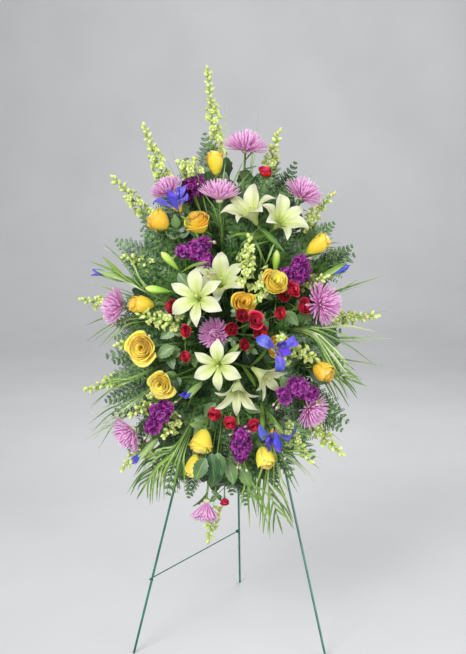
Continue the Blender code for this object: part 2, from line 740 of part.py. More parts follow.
def build_easel():
    """Front legs, hinge bar and cross bar stay put; the rear leg hangs from the hinge and carries the stay."""
    for side, name in ((-1, "front_leg_left"), (1, "front_leg_right")):
        foot = np.array((side * FRONT_FOOT_X, APEX_BACK - FRONT_FOOT_FORWARD, 0))
        top = APEX + side * FRONT_TOP_X * RIGHT
        path = (foot, top + unit(top - foot) * LEG_OVER)
        add(name, [flat_foot(tube(path, LEG_RADIUS, LEG_SIDES))], "easel")
    bar = tube([(-HINGE_HALF, 0, 0), (HINGE_HALF, 0, 0)], HINGE_RADIUS, EYE_SIDES)
    add("hinge_bar", [bar], "easel", APEX)

    cross_up = -CAGE_HALF_Y - GAP - CROSS_RADIUS
    cross_forward = CROSS_RADIUS
    share = (CAGE_DROP - cross_up) / math.hypot(APEX_HEIGHT, FRONT_FOOT_FORWARD)
    half = FRONT_TOP_X + (FRONT_FOOT_X - FRONT_TOP_X) * share + CROSS_OVER
    pieces = [tube([(-half, cross_up, cross_forward), (half, cross_up, cross_forward)], CROSS_RADIUS,
                   WIRE_SIDES)]
    nose = CAGE_RIM + GAP + PRONG_RADIUS
    for x in (-PRONG_X, PRONG_X):
        level = -CAGE_HALF_Y - GAP - PRONG_RADIUS
        pieces.append(tube([(x, level, cross_forward), (x, level, nose), (x, level + PRONG_RISE, nose)],
                           PRONG_RADIUS, WIRE_SIDES))
    settle("cross_bar", pieces)
    add("cross_bar", pieces, "easel", parent=spray)

    rear = empty("rear_leg_axis", APEX)
    foot = np.array((0.0, REAR_FOOT_BACK, -APEX_HEIGHT))
    wire = flat_foot(tube([foot, unit(foot) * REAR_WIRE_START], LEG_RADIUS, LEG_SIDES), -APEX_HEIGHT)
    eye = washer(np.zeros(3), RIGHT, EYE_HOLE, EYE_RADIUS, EYE_HALF, EYE_SIDES)
    pivot = rear_leg_at(STAY_REAR_HEIGHT)
    reach = left_leg_at(STAY_FRONT_HEIGHT) - pivot
    flat = unit((reach[0], reach[1], 0))
    away = np.array((flat[1], -flat[0], 0.0))
    peg_start = pivot - APEX
    peg_end = peg_start + away * (STAY_SIDE + PEG_OVER)
    peg = tube([peg_start, peg_end], PEG_RADIUS, WIRE_SIDES)
    head = tube([peg_end - away * PEG_HEAD_THICK, peg_end], PEG_HEAD_RADIUS, WIRE_SIDES)
    add("rear_leg", [wire, eye, peg, head], "easel", parent=rear)

    stay = empty("stay_axis", peg_start)
    stay.parent = rear
    offset = away * STAY_SIDE
    along = unit(reach)
    end = offset + reach + along * (LEG_RADIUS + STAY_RADIUS + STAY_CLEAR)
    ring = washer(offset, away, STAY_EYE_HOLE, STAY_EYE_RADIUS, STAY_EYE_HALF, STAY_EYE_SIDES)
    shaft = tube([offset + along * STAY_WIRE_START, end - along * STAY_BEND, end - away * STAY_RADIUS,
                  end - away * (STAY_SIDE + STAY_FINGER)], STAY_RADIUS, WIRE_SIDES)
    add("stay_rod", [ring, shaft], "easel", parent=stay)


def build_cage():
    """The tray round the foam's back, and two bands over its front."""
    x, y = CAGE_HALF_X, CAGE_HALF_Y
    outer = [(-x, -y), (x, -y), (x, y), (-x, y)]
    inner = [(a - math.copysign(CAGE_WALL, a), b - math.copysign(CAGE_WALL, b)) for a, b in outer]
    rings = [[(a, b, z) for a, b in shape] for shape, z in
             ((outer, 0.0), (outer, CAGE_RIM), (inner, CAGE_RIM), (inner, CAGE_BACK))]
    pieces = [stacked([np.array(ring) for ring in rings])]
    inside = x - CAGE_WALL
    top = FOAM_FRONT + GAP
    for up in (-BAND_Y, BAND_Y):
        shape = [(-x, BAND_FOOT), (x, BAND_FOOT), (x, top + BAND_THICK), (-x, top + BAND_THICK)]
        hollow = [(-inside, BAND_FOOT), (inside, BAND_FOOT), (inside, top), (-inside, top)]
        low, high = up - BAND_HALF, up + BAND_HALF
        band = [shape[1], shape[2], shape[3], shape[0], hollow[0], hollow[3], hollow[2], hollow[1]]
        count = len(band)
        points = [(a, low, b) for a, b in band] + [(a, high, b) for a, b in band]
        faces = [(k, k + count, (k + 1) % count + count) for k in range(count)]
        faces += [(k, (k + 1) % count + count, (k + 1) % count) for k in range(count)]
        for a, b, c, d in ((0, 1, 6, 7), (1, 2, 5, 6), (2, 3, 4, 5)):
            faces += [(a, b, c), (a, c, d)]
            faces += [(a + count, c + count, b + count), (a + count, d + count, c + count)]
        pieces.append((np.array(points, float), faces))
    settle("foam_cage", pieces)
    add("foam_cage", pieces, "cage", parent=spray)


def build_foam():
    """Two slabs in the tray with the leaves' stems between them, the front one with a hole for each flower."""
    x, y = CAGE_HALF_X - CAGE_WALL - GAP, CAGE_HALF_Y - CAGE_WALL - GAP
    ring = np.array([(-x, -y, 0), (x, -y, 0), (x, y, 0), (-x, y, 0)], float)
    back = stacked([ring + (0, 0, CAGE_BACK + GAP), ring + (0, 0, FOAM_SPLIT_LOW)])
    add("foam_back", [back], "foam", parent=spray)
    front = stacked([ring + (0, 0, FOAM_SPLIT_HIGH), ring + (0, 0, FOAM_FRONT)])
    item = add("foam_front", [front], "foam", parent=spray)
    holes = bpy.data.collections.new("stem_holes")
    bpy.context.scene.collection.children.link(holes)
    for k, piece in enumerate(drills):
        hole = bpy.data.objects.new(f"hole_{k}", mesh_from([piece], "hole"))
        hole.parent = spray
        holes.objects.link(hole)
    cut = item.modifiers.new("holes", "BOOLEAN")
    cut.operation = "DIFFERENCE"
    cut.operand_type = "COLLECTION"
    cut.collection = holes
    cut.solver = "MANIFOLD"
    bpy.context.view_layer.update()
    result = bpy.data.meshes.new_from_object(item.evaluated_get(bpy.context.evaluated_depsgraph_get()))
    item.modifiers.clear()
    item.data = largest(result)
    for hole in list(holes.objects):
        bpy.data.objects.remove(hole, do_unlink=True)
    bpy.data.collections.remove(holes)


def largest(mesh):
    """The mesh with only its largest loose part."""
    work = bmesh.new()
    work.from_mesh(mesh)
    seen = set()
    parts = []
    for start in work.verts:
        if start in seen:
            continue
        group = {start}
        edge = [start]
        while edge:
            point = edge.pop()
            for link in point.link_edges:
                other = link.other_vert(point)
                if other not in group:
                    group.add(other)
                    edge.append(other)
        seen |= group
        parts.append(group)
    keep = max(parts, key=len)
    bmesh.ops.delete(work, geom=[v for v in work.verts if v not in keep], context="VERTS")
    work.to_mesh(mesh)
    work.free()
    return mesh


# Flowers on their stems
def place_heads(name, colour, heads, kind, shape):
    """Pose a stem's heads, keep their pieces on the face, and remember where each base and look is."""
    back, radius, lead = KINDS[kind]
    pieces = []
    bases = []
    for k, head in enumerate(heads):
        base, turn, look = pose(head, back)
        pieces += [moved(piece, turn, base) for piece in shape(head, k)]
        bases.append((base, turn, look))
    settle(name, pieces)
    return {"name": name, "colour": colour, "pieces": pieces, "bases": bases, "radius": radius, "lead": lead}


def finish_flower(flower):
    """Give a placed flower its stem, or its branching stem, and build it about its own head."""
    name, radius, lead = flower["name"], flower["radius"], flower["lead"]
    main_base, main_turn, main_look = flower["bases"][0]
    path = stem_route(main_base, main_look, radius, lead, name)
    stems = [tube(path, radius)]
    fork = path[2]
    for base, turn, look in flower["bases"][1:]:
        branch = bezier(fork, base - look * lead * BRANCH_SLIM, base, 2)
        stems.append(tube(branch, radius * BRANCH_SLIM))
    settle(name, stems)
    way = unit(path[0] - path[1])
    drills.append(tube(np.vstack((path[0] + way * CLEAR, path[1:3])), radius + DRILL))
    local = [((points - main_base) @ main_turn, faces) for points, faces in flower["pieces"] + stems]
    add(name, local, flower["colour"], main_base, main_turn, spray)


def build_flowers():
    """Every head first, so that the stems then find their way between them."""
    flowers = []

    def group(prefix, heads, colour, kind, shape):
        for number, head in enumerate(heads, 1):
            flowers.append(place_heads(f"{prefix}_{number:02d}", colour, [head], kind,
                                       lambda head, k: shape(head)))

    for number, stem in enumerate(LILY_STEMS, 1):
        blooms = stem["blooms"]
        flowers.append(place_heads(f"lily_stem_{number}", "white", blooms + stem["buds"], "lily",
                                   lambda head, k, count=len(blooms): lily() if k < count else lily_bud()))
    group("yellow_rose", YELLOW_ROSES, "yellow", "rose", lambda head: rose())
    for number, heads in enumerate(RED_SPRAYS, 1):
        flowers.append(place_heads(f"red_rose_spray_{number}", "red", heads, "spray_rose",
                                   lambda head, k: spray_rose()))
    group("iris", IRISES, "violet", "iris", lambda head: iris())
    group("iris_bud", IRIS_BUDS, "violet", "iris_bud", lambda head: iris_bud())
    group("stock", STOCKS, "purple", "stock", lambda head: stock())
    group("spider_mum", SPIDER_MUMS, "pink", "spider_mum", spider_mum)
    for flower in flowers:
        finish_flower(flower)


# Spikes and leaves, each kind fused where its stems meet in the foam
LEAF_TRIES = [(bow, side) for side in (0, 0.03, -0.03, 0.06, -0.06, 0.09, -0.09, 0.12, -0.12)
              for bow in (0, 0.03, -0.03, 0.06, -0.05)]


def leaf_route(foot, tip, radius, name, samples=5):
    """A leaf's line from its kind's rail, straight out of the foam and then bending over to its tip."""
    best = None
    for bow, side in LEAF_TRIES:
        flat = unit((tip[0] - foot[0], tip[1] - foot[1], 0.0))
        flat = unit(flat + np.array((-flat[1], flat[0], 0.0)) * side * 3)
        leave, way = foam_exit(foot, foot + flat)
        outside = leave + way * LEAF_STRAIGHT
        middle = outside * (1 - LEAF_BEND) + tip * LEAF_BEND + np.array((-flat[1], flat[0], 0.0)) * side
        middle[2] = (outside[2] + tip[2]) / 2 + LEAF_ARCH + bow
        path = np.vstack((foot, bezier(outside, middle, tip, samples - 1)))
        crossed = hits([tube(path, radius + CLEAR)], (name,))
        if best is None or crossed < best[0]:
            best = (crossed, path)
        if crossed == 0:
            break
    return best[1]


def at_distance(path, distances):
    """Points along a path at distances from its start."""
    steps = np.linalg.norm(np.diff(path, axis=0), axis=1)
    along = np.concatenate(([0.0], np.cumsum(steps)))
    return np.stack([np.interp(distances, along, path[:, k]) for k in range(3)], axis=1), along[-1]


def frame_at(path, distances):
    """Points, runs, sides and upper faces along a path; the upper face looks forward."""
    points, total = at_distance(path, distances)
    ahead, _ = at_distance(path, np.minimum(distances + 0.01, total))
    behind, _ = at_distance(path, np.minimum(distances + 0.01, total) - 0.02)
    run = ahead - behind
    run /= np.linalg.norm(run, axis=1)[:, None]
    side = np.cross((0.0, 0.0, 1.0), run)
    side /= np.linalg.norm(side, axis=1)[:, None]
    return points, run, side, np.cross(run, side)


def length_of(path):
    return np.linalg.norm(np.diff(path, axis=0), axis=1).sum()


def spike(foot, tip, flowered, name):
    """A slim three-sided stem; along its last stretch one side after another swells into a pointed floret."""
    path = leaf_route(foot, tip, LEAF_STEM, name)
    total = length_of(path)
    count = max(3, round(flowered / SPIKE_STEP))
    bare = [0.0] + [at for at in np.cumsum(np.linalg.norm(np.diff(path, axis=0), axis=1))
                    if at < total - flowered - 0.01]
    distances = np.array(bare + list(total - flowered * (1 - np.arange(count) / count)))
    points, run, side, face = frame_at(path, distances)
    radii = np.linspace(0.0017, 0.0009, len(distances))
    rings = [ring_around(point, across, over, radius, 3)
             for point, across, over, radius in zip(points, side, face, radii)]
    petals = {}
    for k in range(count - 1):
        band = len(bare) + k
        turn = k % 3
        around = middle_of(turn, 3)
        out = side[band] * math.cos(around) + face[band] * math.sin(around)
        right = face[band] * math.cos(around) - side[band] * math.sin(around)
        way = unit(out + run[band] * 0.8)
        up = unit(np.cross(way, right))
        size = SPIKE_FLORET * (1 - 0.5 * k / count)
        heart = points[band] * 0.2 + points[band + 1] * 0.8 + way * size * 1.2
        wide, tall = right * size * 0.5, up * size * 0.42
        section = (heart - wide - tall, heart + wide - tall, heart + wide + tall, heart - wide + tall)
        drawn = (section, heart + way * size * 1.1)
        if not hits([stacked([np.array(section)], heart - way * size, drawn[1])], (name,)):
            petals[(band, turn)] = ([section], drawn[1])
    return [grown(rings, points[-1] + run[-1] * flowered / count, petals)]


def fern(foot, tip, length, name):
    """An arched frond cut to its rib: each pair of leaflets is a pair of points of the blade's outline."""
    path = leaf_route(foot, tip, LEAF_STEM, name)
    total = length_of(path)
    steps = np.cumsum(np.linalg.norm(np.diff(path, axis=0), axis=1))
    bare = [0.0] + [at for at in steps if at < total - length - 0.02]
    distances = np.array(bare + list(np.linspace(total - length, total, FERN_STATIONS)))
    points, run, side, face = frame_at(path, distances)
    first = len(bare)
    share = np.clip((np.arange(len(distances)) - first) / (FERN_STATIONS - 1), 0, 1)
    reach = 0.30 * length * np.sin(np.pi * (0.94 - 0.80 * share)) ** 0.8
    leafy = (np.arange(len(distances)) - first) % 2 == 1
    leafy[:first] = False
    leafy[-1] = False
    widths = np.where(leafy, reach, FERN_RIB)
    widths[:first + 1] = 0.0014
    widths[-1] = 0
    points = points + face * (0.010 * np.sin(np.pi * share))[:, None]

    def frond(widths):
        sweep = run * np.where(widths > 2 * FERN_RIB, 0.40 * widths, 0)[:, None]
        return blade(points, widths, face, -0.18, FERN_THICK, side, sweep)

    for k in np.flatnonzero(leafy):
        others = np.where(leafy & (np.arange(len(widths)) != k), FERN_RIB, widths)
        if hits([frond(others)], (name,)):
            widths[k] = FERN_RIB
    return [frond(widths)]


def palm(foot, tip, length, name):
    """A long rib with narrow leaflets on both sides, swept towards the tip."""
    path = leaf_route(foot, tip, LEAF_STEM, name)
    total = length_of(path)
    pieces = [tube(path, np.linspace(0.0017, 0.0010, len(path)), 3)]
    for k in range(PALM_PAIRS):
        share = k / PALM_PAIRS
        points, run, side, face = frame_at(path, np.array([total - length * (1 - share)]))
        for hand in (-1, 1):
            way = unit(run[0] + hand * side[0] * (0.75 - 0.35 * share))
            reach = length * (0.50 - 0.14 * share)
            line = np.array([points[0], points[0] + way * reach * 0.45 + face[0] * 0.006,
                             points[0] + way * reach - face[0] * 0.008])
            leaflet = blade(line, [0, 0.0055, 0], face[0], -0.2, 0.0014, np.cross(face[0], way))
            if not hits([leaflet], (name,)):
                pieces.append(leaflet)
    return pieces


def grass(foot, tip, name):
    """A long thin blade, three-sided, tapering to its tip."""
    path = leaf_route(foot, tip, 0.0018, name, 3)
    return [tube(path, np.array((0.0014, 0.0018, 0.0024, 0.0006)))]


def build_leaves():
    """Each kind of leaf and spike in a node: its stems start from a thin rail in their own layer of the foam."""
    kinds = [
        ("snapdragons_above", SPIKES_ABOVE, "lime", spike, SPIKE_LAYER, RAIL_PART, RAIL_REACH),
        ("snapdragons_below", SPIKES_BELOW, "lime", spike, SPIKE_LAYER, -RAIL_REACH, -RAIL_PART),
        ("palm_fronds", PALMS, "palm", palm, PALM_LAYER, -RAIL_REACH, 0.0),
        ("fern_fronds", FERNS, "fern", fern, FERN_LAYER, -RAIL_REACH, RAIL_REACH),
        ("grass_blades", GRASSES, "grass", grass, GRASS_LAYER, -RAIL_REACH, RAIL_REACH),
    ]
    for name, leaves, colour, shape, depth, low, high in kinds:
        pieces = [tube([(0, low, depth), (0, high, depth)], RAIL_RADIUS, 4)]
        leaves = sorted(leaves, key=lambda leaf: leaf[1])
        for rank, leaf in enumerate(leaves):
            foot = np.array((0.0, low + (high - low) * (rank + 0.5) / len(leaves), depth))
            tip = np.array(leaf[:3], float) * CM
            pieces += shape(foot, tip, *(length * CM for length in leaf[3:]), name)
        settle(name, pieces)
        add(name, pieces, colour, parent=spray)


def main():
    global spray
    clear_scene()
    spray = empty("spray_face", FACE, np.stack((RIGHT, UP, FORWARD), axis=1))
    build_easel()
    build_cage()
    build_flowers()
    build_leaves()
    build_foam()


main()
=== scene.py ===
# %% [markdown]
# # A standing funeral spray
#
# Cut flowers and leaves stand in a block of wet foam on a folding wire easel. The CAD part has the easel,
# the foam and one plain solid for each stem. Here each flower is built again with real petals, on the place
# and the stem that its solid has, and the greenery between them is added.

import math
import random
from collections import namedtuple

import bpy
import numpy as np
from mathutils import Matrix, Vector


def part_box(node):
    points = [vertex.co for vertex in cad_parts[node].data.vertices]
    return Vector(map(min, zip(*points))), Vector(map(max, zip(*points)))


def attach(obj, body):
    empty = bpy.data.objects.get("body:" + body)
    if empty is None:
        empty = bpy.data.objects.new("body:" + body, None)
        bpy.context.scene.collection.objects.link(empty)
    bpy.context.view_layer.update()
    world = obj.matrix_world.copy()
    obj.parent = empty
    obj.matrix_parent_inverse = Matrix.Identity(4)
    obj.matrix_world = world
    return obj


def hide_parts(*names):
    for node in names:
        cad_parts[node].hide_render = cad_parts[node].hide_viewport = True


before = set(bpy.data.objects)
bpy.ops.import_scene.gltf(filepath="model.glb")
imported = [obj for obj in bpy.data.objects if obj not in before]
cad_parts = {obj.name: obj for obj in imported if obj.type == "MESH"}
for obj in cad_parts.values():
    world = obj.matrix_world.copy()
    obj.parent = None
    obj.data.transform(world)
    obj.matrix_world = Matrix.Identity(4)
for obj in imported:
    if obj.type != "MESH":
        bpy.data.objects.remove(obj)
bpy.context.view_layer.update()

# %% [markdown]
# ## Camera, floor and light
#
# The photograph looks at the spray from a little to its right and from just above the middle of the
# flowers. The camera's place is worked out from three angles and lengths, so that each can be changed by
# itself.

# %% Camera
VIEW_AZIMUTH, VIEW_HEIGHT, VIEW_DISTANCE = math.radians(3.5), math.radians(9.0), 2.9
VIEW_TARGET = np.array((0.001, -0.026, 0.843))
PHOTO_HEIGHT_PX, FOCAL_PX, SENSOR_MM = 654, 1113, 36.0

scene = bpy.context.scene
level = math.cos(VIEW_HEIGHT)
back = np.array((math.sin(VIEW_AZIMUTH) * level, -math.cos(VIEW_AZIMUTH) * level, math.sin(VIEW_HEIGHT)))
camera = bpy.data.objects.new("camera", bpy.data.cameras.new("camera"))
scene.collection.objects.link(camera)
camera.location = VIEW_TARGET + back * VIEW_DISTANCE
camera.rotation_mode = "QUATERNION"
camera.rotation_quaternion = Vector(-back).to_track_quat("-Z", "Y")
camera.data.sensor_width = SENSOR_MM
camera.data.lens = FOCAL_PX / PHOTO_HEIGHT_PX * SENSOR_MM
scene.camera = camera
print("camera at", [round(v, 3) for v in camera.location], "lens", round(camera.data.lens, 2))

# %% [markdown]
# A studio sets flowers off with one large soft lamp near the camera, a weaker one on the other side, one
# above and behind that draws the edges, and one on the wall. Area lamps are made for this: the larger the
# lamp, the softer the shade.

# %% Light
def area_lamp(name, place, aim, size, power):
    """A square lamp at a place, turned to an aim."""
    lamp = bpy.data.objects.new(name, bpy.data.lights.new(name, "AREA"))
    lamp.data.size, lamp.data.energy = size, power
    lamp.location = place
    lamp.rotation_mode = "QUATERNION"
    lamp.rotation_quaternion = Vector(np.subtract(aim, place)).to_track_quat("-Z", "Y")
    scene.collection.objects.link(lamp)


SPRAY_MIDDLE = (0.0, 0.0, 0.9)
area_lamp("key_lamp", (-1.3, -2.9, 2.5), SPRAY_MIDDLE, 1.5, 120)
area_lamp("fill_lamp", (2.2, -2.3, 1.4), SPRAY_MIDDLE, 2.0, 50)
area_lamp("back_lamp", (0.6, 2.0, 2.6), SPRAY_MIDDLE, 1.6, 45)
area_lamp("wall_lamp", (0.0, 3.2, 4.5), (0.0, 7.0, 1.8), 3.0, 95)
world = bpy.data.worlds.new("studio")
world.use_nodes = True
world.node_tree.nodes["Background"].inputs["Color"].default_value = (0.81, 0.82, 0.84, 1.0)
world.node_tree.nodes["Background"].inputs["Strength"].default_value = 0.50
scene.world = world
scene.view_settings.view_transform = "Standard"

# %% [markdown]
# ## Shader nodes by name
#
# Every finish below is a small graph of nodes. A few helpers keep the graphs short to read. They add a node
# with its settings and its wires, mix colours, carry values to another range, and dress the shader.

# %% Node helpers
def add_node(tree, kind, inputs=None, **settings):
    """A node with its settings; inputs maps a socket's name or number to a value or to another node's
    output."""
    made = tree.nodes.new("ShaderNode" + kind)
    for key, value in settings.items():
        setattr(made, key, value)
    for key, value in (inputs or {}).items():
        if isinstance(value, bpy.types.NodeSocket):
            tree.links.new(value, made.inputs[key])
        else:
            made.inputs[key].default_value = value
    return made


def math_node(tree, operation, *values):
    """The result of one arithmetic step."""
    return add_node(tree, "Math", dict(enumerate(values)), operation=operation).outputs[0]


def mix(tree, share, first, second, blend="MIX"):
    """Two colours mixed by a share."""
    made = add_node(tree, "Mix", {0: share, 6: first, 7: second}, data_type="RGBA", blend_type=blend)
    return made.outputs[2]


def ramp(tree, share, stops):
    """A colour ramp through its stops, each a position and a colour."""
    made = add_node(tree, "ValToRGB", {"Fac": share})
    elements = made.color_ramp.elements
    while len(elements) < len(stops):
        elements.new(0.5)
    for element, (position, colour) in zip(elements, stops):
        element.position, element.color = position, colour
    return made.outputs["Color"]


def spread(tree, value, low, high, to_low=0.0, to_high=1.0):
    """A value's range carried to another range and held inside it."""
    made = add_node(tree, "MapRange", {"Value": value, "From Min": low, "From Max": high, "To Min": to_low,
                                       "To Max": to_high})
    return made.outputs["Result"]


def paint(red, green, blue):
    """A colour as a paint chart gives it, 0 to 255, in the renderer's linear light."""
    share = np.array((red, green, blue)) / 255
    linear = np.where(share <= 0.04045, share / 12.92, ((share + 0.055) / 1.055) ** 2.4)
    return (*linear.tolist(), 1.0)


def blank(name):
    """A new material with its tree and its Principled shader."""
    made = bpy.data.materials.new(name)
    made.use_nodes = True
    return made, made.node_tree, made.node_tree.nodes["Principled BSDF"]


def noise_in_place(tree, scale, detail):
    """Noise that lies fixed in the object's own space."""
    place = add_node(tree, "TexCoord").outputs["Object"]
    return add_node(tree, "TexNoise", {"Vector": place, "Scale": scale, "Detail": detail}).outputs["Fac"]


def dress(tree, shader, colour, rough, height, strength, distance):
    """Gives the shader its colour, its roughness and a relief of a strength and a depth in metres."""
    tree.links.new(colour, shader.inputs["Base Color"])
    tree.links.new(rough, shader.inputs["Roughness"])
    relief = add_node(tree, "Bump", {"Height": height, "Strength": strength, "Distance": distance})
    tree.links.new(relief.outputs["Normal"], shader.inputs["Normal"])


# %% [markdown]
# ## The floor
#
# A plain pale floor that curves up far behind the spray, as a roll of studio paper does, so that no edge
# shows. It is one profile, flat, a quarter circle and straight up, carried sideways. Its colour drifts very
# slightly.

# %% Floor
FLOOR_HALF, FLOOR_FRONT, BEND_START, BEND_RADIUS, WALL_TOP = 14.0, -9.0, 4.5, 2.5, 9.0


def floor_finish():
    material, tree, shader = blank("studio_floor")
    cloud = noise_in_place(tree, 1.3, 4.0)
    colour = ramp(tree, cloud, [(0.3, paint(196, 197, 198)), (0.7, paint(204, 205, 206))])
    tree.links.new(colour, shader.inputs["Base Color"])
    shader.inputs["Roughness"].default_value = 0.75
    return material


bend = np.linspace(0, math.pi / 2, 17)
arc = np.stack((BEND_START + BEND_RADIUS * np.sin(bend), BEND_RADIUS * (1 - np.cos(bend))), -1)
profile = np.vstack(([(FLOOR_FRONT, 0.0)], arc, [(BEND_START + BEND_RADIUS, WALL_TOP)]))
sides = np.tile((-FLOOR_HALF, FLOOR_HALF), len(profile))[:, None]
strip = 2 * np.arange(len(profile) - 1)[:, None] + np.array((0, 1, 3, 2))
floor_mesh = bpy.data.meshes.new("floor")
floor_mesh.from_pydata(np.hstack((sides, np.repeat(profile, 2, axis=0))).tolist(), [], strip.tolist())
floor_mesh.shade_smooth()
floor_mesh.materials.append(floor_finish())
floor = bpy.data.objects.new("floor", floor_mesh)
scene.collection.objects.link(floor)
print("floor", 2 * FLOOR_HALF, "m wide")

# %% [markdown]
# ## Shapes as arrays
#
# A petal is a thin sheet, a stem is a tube, and a spray has thousands of both. So each is worked out whole,
# as an array of points, and only at the end given to Blender. A part holds points, four-sided and
# three-sided faces, and four marks at each point that the finishes read: how far along, how far across, a
# chance tone, and which skin it is, 0 for the upper and 1 for the lower.

# %% Parts
Part = namedtuple("Part", "points quads tris marks")
NO_TRIS = np.zeros((0, 3), int)
NO_QUADS = np.zeros((0, 4), int)


def unit(vector):
    vector = np.asarray(vector, float)
    return vector / np.maximum(np.linalg.norm(vector, axis=-1, keepdims=True), 1e-12)


def net(index):
    """The quads between the neighbours of a grid of point numbers."""
    return np.stack((index[:-1, :-1], index[:-1, 1:], index[1:, 1:], index[1:, :-1]), -1).reshape(-1, 4)


def sheet(grid, thick, tone=0.5):
    """A thin closed sheet. The upper skin is the grid moved half its thickness along the normals, the cross
    product of the steps across and along, and the lower skin is moved the other way. The two share the
    rim."""
    rows, cols = grid.shape[:2]
    normal = unit(np.cross(np.gradient(grid, axis=1), np.gradient(grid, axis=0)))
    inner = (slice(1, -1), slice(1, -1))
    upper = grid.copy()
    upper[inner] += normal[inner] * thick / 2
    lower = grid[inner] - normal[inner] * thick / 2
    top = np.arange(rows * cols).reshape(rows, cols)
    under = top.copy()
    under[inner] = rows * cols + np.arange(lower.shape[0] * lower.shape[1]).reshape(lower.shape[:2])
    along, across = np.meshgrid(np.linspace(0, 1, rows), np.linspace(0, 1, cols), indexing="ij")
    skin = np.full((rows, cols), 0.5)
    skin[inner] = 0.0
    marks = np.stack((along, across, np.full_like(along, tone), skin), -1)
    lower_marks = marks[inner].copy()
    lower_marks[..., 3] = 1.0
    return Part(np.vstack((upper.reshape(-1, 3), lower.reshape(-1, 3))),
                np.vstack((net(top), net(under)[:, ::-1])), NO_TRIS,
                np.vstack((marks.reshape(-1, 4), lower_marks.reshape(-1, 4))))


def tube(path, radii, sides=8, tone=0.5, cap=0.8):
    """A round bar: at each point of the path a circle square to the run, and a pole cap radii past each
    end."""
    path = np.asarray(path, float)
    radii = np.broadcast_to(radii, len(path))
    run = unit(np.gradient(path, axis=0))
    side = np.cross(run[0], (0.0, 0.0, 1.0))
    if np.linalg.norm(side) < 0.1:
        side = np.cross(run[0], (0.0, 1.0, 0.0))
    carried = []
    for way in run:
        side = unit(side - way * (side @ way))
        carried.append(side)
    side = np.array(carried)[:, None]
    over = np.cross(run, side[:, 0])[:, None]
    angle = (np.arange(sides) * math.tau / sides)[None, :, None]
    rings = path[:, None] + radii[:, None, None] * (np.cos(angle) * side + np.sin(angle) * over)
    poles = np.stack((path[0] - run[0] * radii[0] * cap, path[-1] + run[-1] * radii[-1] * cap))
    count = len(path) * sides
    index = np.arange(count).reshape(len(path), sides)
    index = np.hstack((index, index[:, :1]))
    low = np.stack((np.full(sides, count), index[0, 1:], index[0, :-1]), -1)
    high = np.stack((np.full(sides, count + 1), index[-1, :-1], index[-1, 1:]), -1)
    along = np.repeat(np.linspace(0, 1, len(path)), sides)
    across = np.tile(np.arange(sides) / sides, len(path))
    marks = np.stack((along, across, np.full(count, tone), np.zeros(count)), -1)
    ends = np.array([(0, 0.5, tone, 0), (1, 0.5, tone, 0)])
    return Part(np.vstack((rings.reshape(-1, 3), poles)), net(index), np.vstack((low, high)),
                np.vstack((marks, ends)))


def gathered(parts):
    """Several parts as one."""
    starts = np.cumsum([0] + [len(part.points) for part in parts[:-1]])
    return Part(np.vstack([part.points for part in parts]),
                np.vstack([part.quads + start for part, start in zip(parts, starts)]),
                np.vstack([part.tris + start for part, start in zip(parts, starts)]),
                np.vstack([part.marks for part in parts]))


def moved(part, turn, shift):
    """A part turned by a matrix whose columns are its new axes, and shifted."""
    return part._replace(points=part.points @ np.asarray(turn).T + shift)


def placed(parts, turn, shift):
    """Every part of a list turned and shifted."""
    return [moved(part, turn, shift) for part in parts]


def copies(part, turns, shifts, tones):
    """A part laid down many times: every copy's points are its matrix times the part's points plus its
    shift."""
    count, size = len(shifts), len(part.points)
    points = np.einsum("nij,mj->nmi", np.asarray(turns), part.points) + np.asarray(shifts)[:, None]
    starts = (np.arange(count) * size)[:, None, None]
    marks = np.tile(part.marks, (count, 1, 1))
    marks[..., 2] = (marks[..., 2] + np.asarray(tones)[:, None]) % 1.0
    return Part(points.reshape(-1, 3), (part.quads + starts).reshape(-1, 4),
                (part.tris + starts).reshape(-1, 3), marks.reshape(-1, 4))


def upright(*heights):
    """Points on the +Z axis."""
    return [(0.0, 0.0, height) for height in heights]


def direction(lean, angle):
    """The unit direction that leans away from +Z, at an angle round it."""
    return np.array((math.sin(lean) * math.cos(angle), math.sin(lean) * math.sin(angle), math.cos(lean)))


def stray(draw, reach, ahead):
    """A direction drawn to any side, with a fixed part forward."""
    return np.array((draw.uniform(-reach, reach), draw.uniform(-reach, reach), ahead))


def curve(points, count):
    """Catmull-Rom: each stretch is the cubic whose slopes at its ends are half the step between the
    neighbours on both sides."""
    points = np.asarray(points, float)
    padded = np.vstack((2 * points[0] - points[1], points, 2 * points[-1] - points[-2]))
    at = np.linspace(0, len(points) - 1, count)
    k = np.minimum(at.astype(int), len(points) - 2)
    t = (at - k)[:, None]
    a, b, c, d = padded[k], padded[k + 1], padded[k + 2], padded[k + 3]
    square, cube = 2 * a - 5 * b + 4 * c - d, 3 * b - a - 3 * c + d
    return 0.5 * (2 * b + (c - a) * t + square * t ** 2 + cube * t ** 3)


# %% [markdown]
# ## The leaning face
#
# The easel's front legs lean back, and the spray is laid out on that leaning face. Its axes are right, up
# along the lean and forward out of it. The hinge bar and a leg's foot in the frame give them.

# %% Face axes
CAGE_DROP, LEG_REST = 0.185, 0.0033

leg_low, leg_high = (np.array(corner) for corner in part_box("front_leg_left"))
hinge_low, hinge_high = (np.array(corner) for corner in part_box("hinge_bar"))
APEX = (hinge_low + hinge_high) / 2
LEG_RADIUS = 0.003
foot_y = leg_low[1] + LEG_RADIUS
LEAN = math.atan2(APEX[1] - foot_y, APEX[2])
RIGHT = np.array((1.0, 0.0, 0.0))
UP = np.array((0.0, math.sin(LEAN), math.cos(LEAN)))
FORWARD = np.array((0.0, -math.cos(LEAN), math.sin(LEAN)))
AXES = np.stack((RIGHT, UP, FORWARD), axis=1)
FACE = APEX - CAGE_DROP * UP + LEG_REST * FORWARD
print("lean", round(math.degrees(LEAN), 2), "face", FACE.round(4))


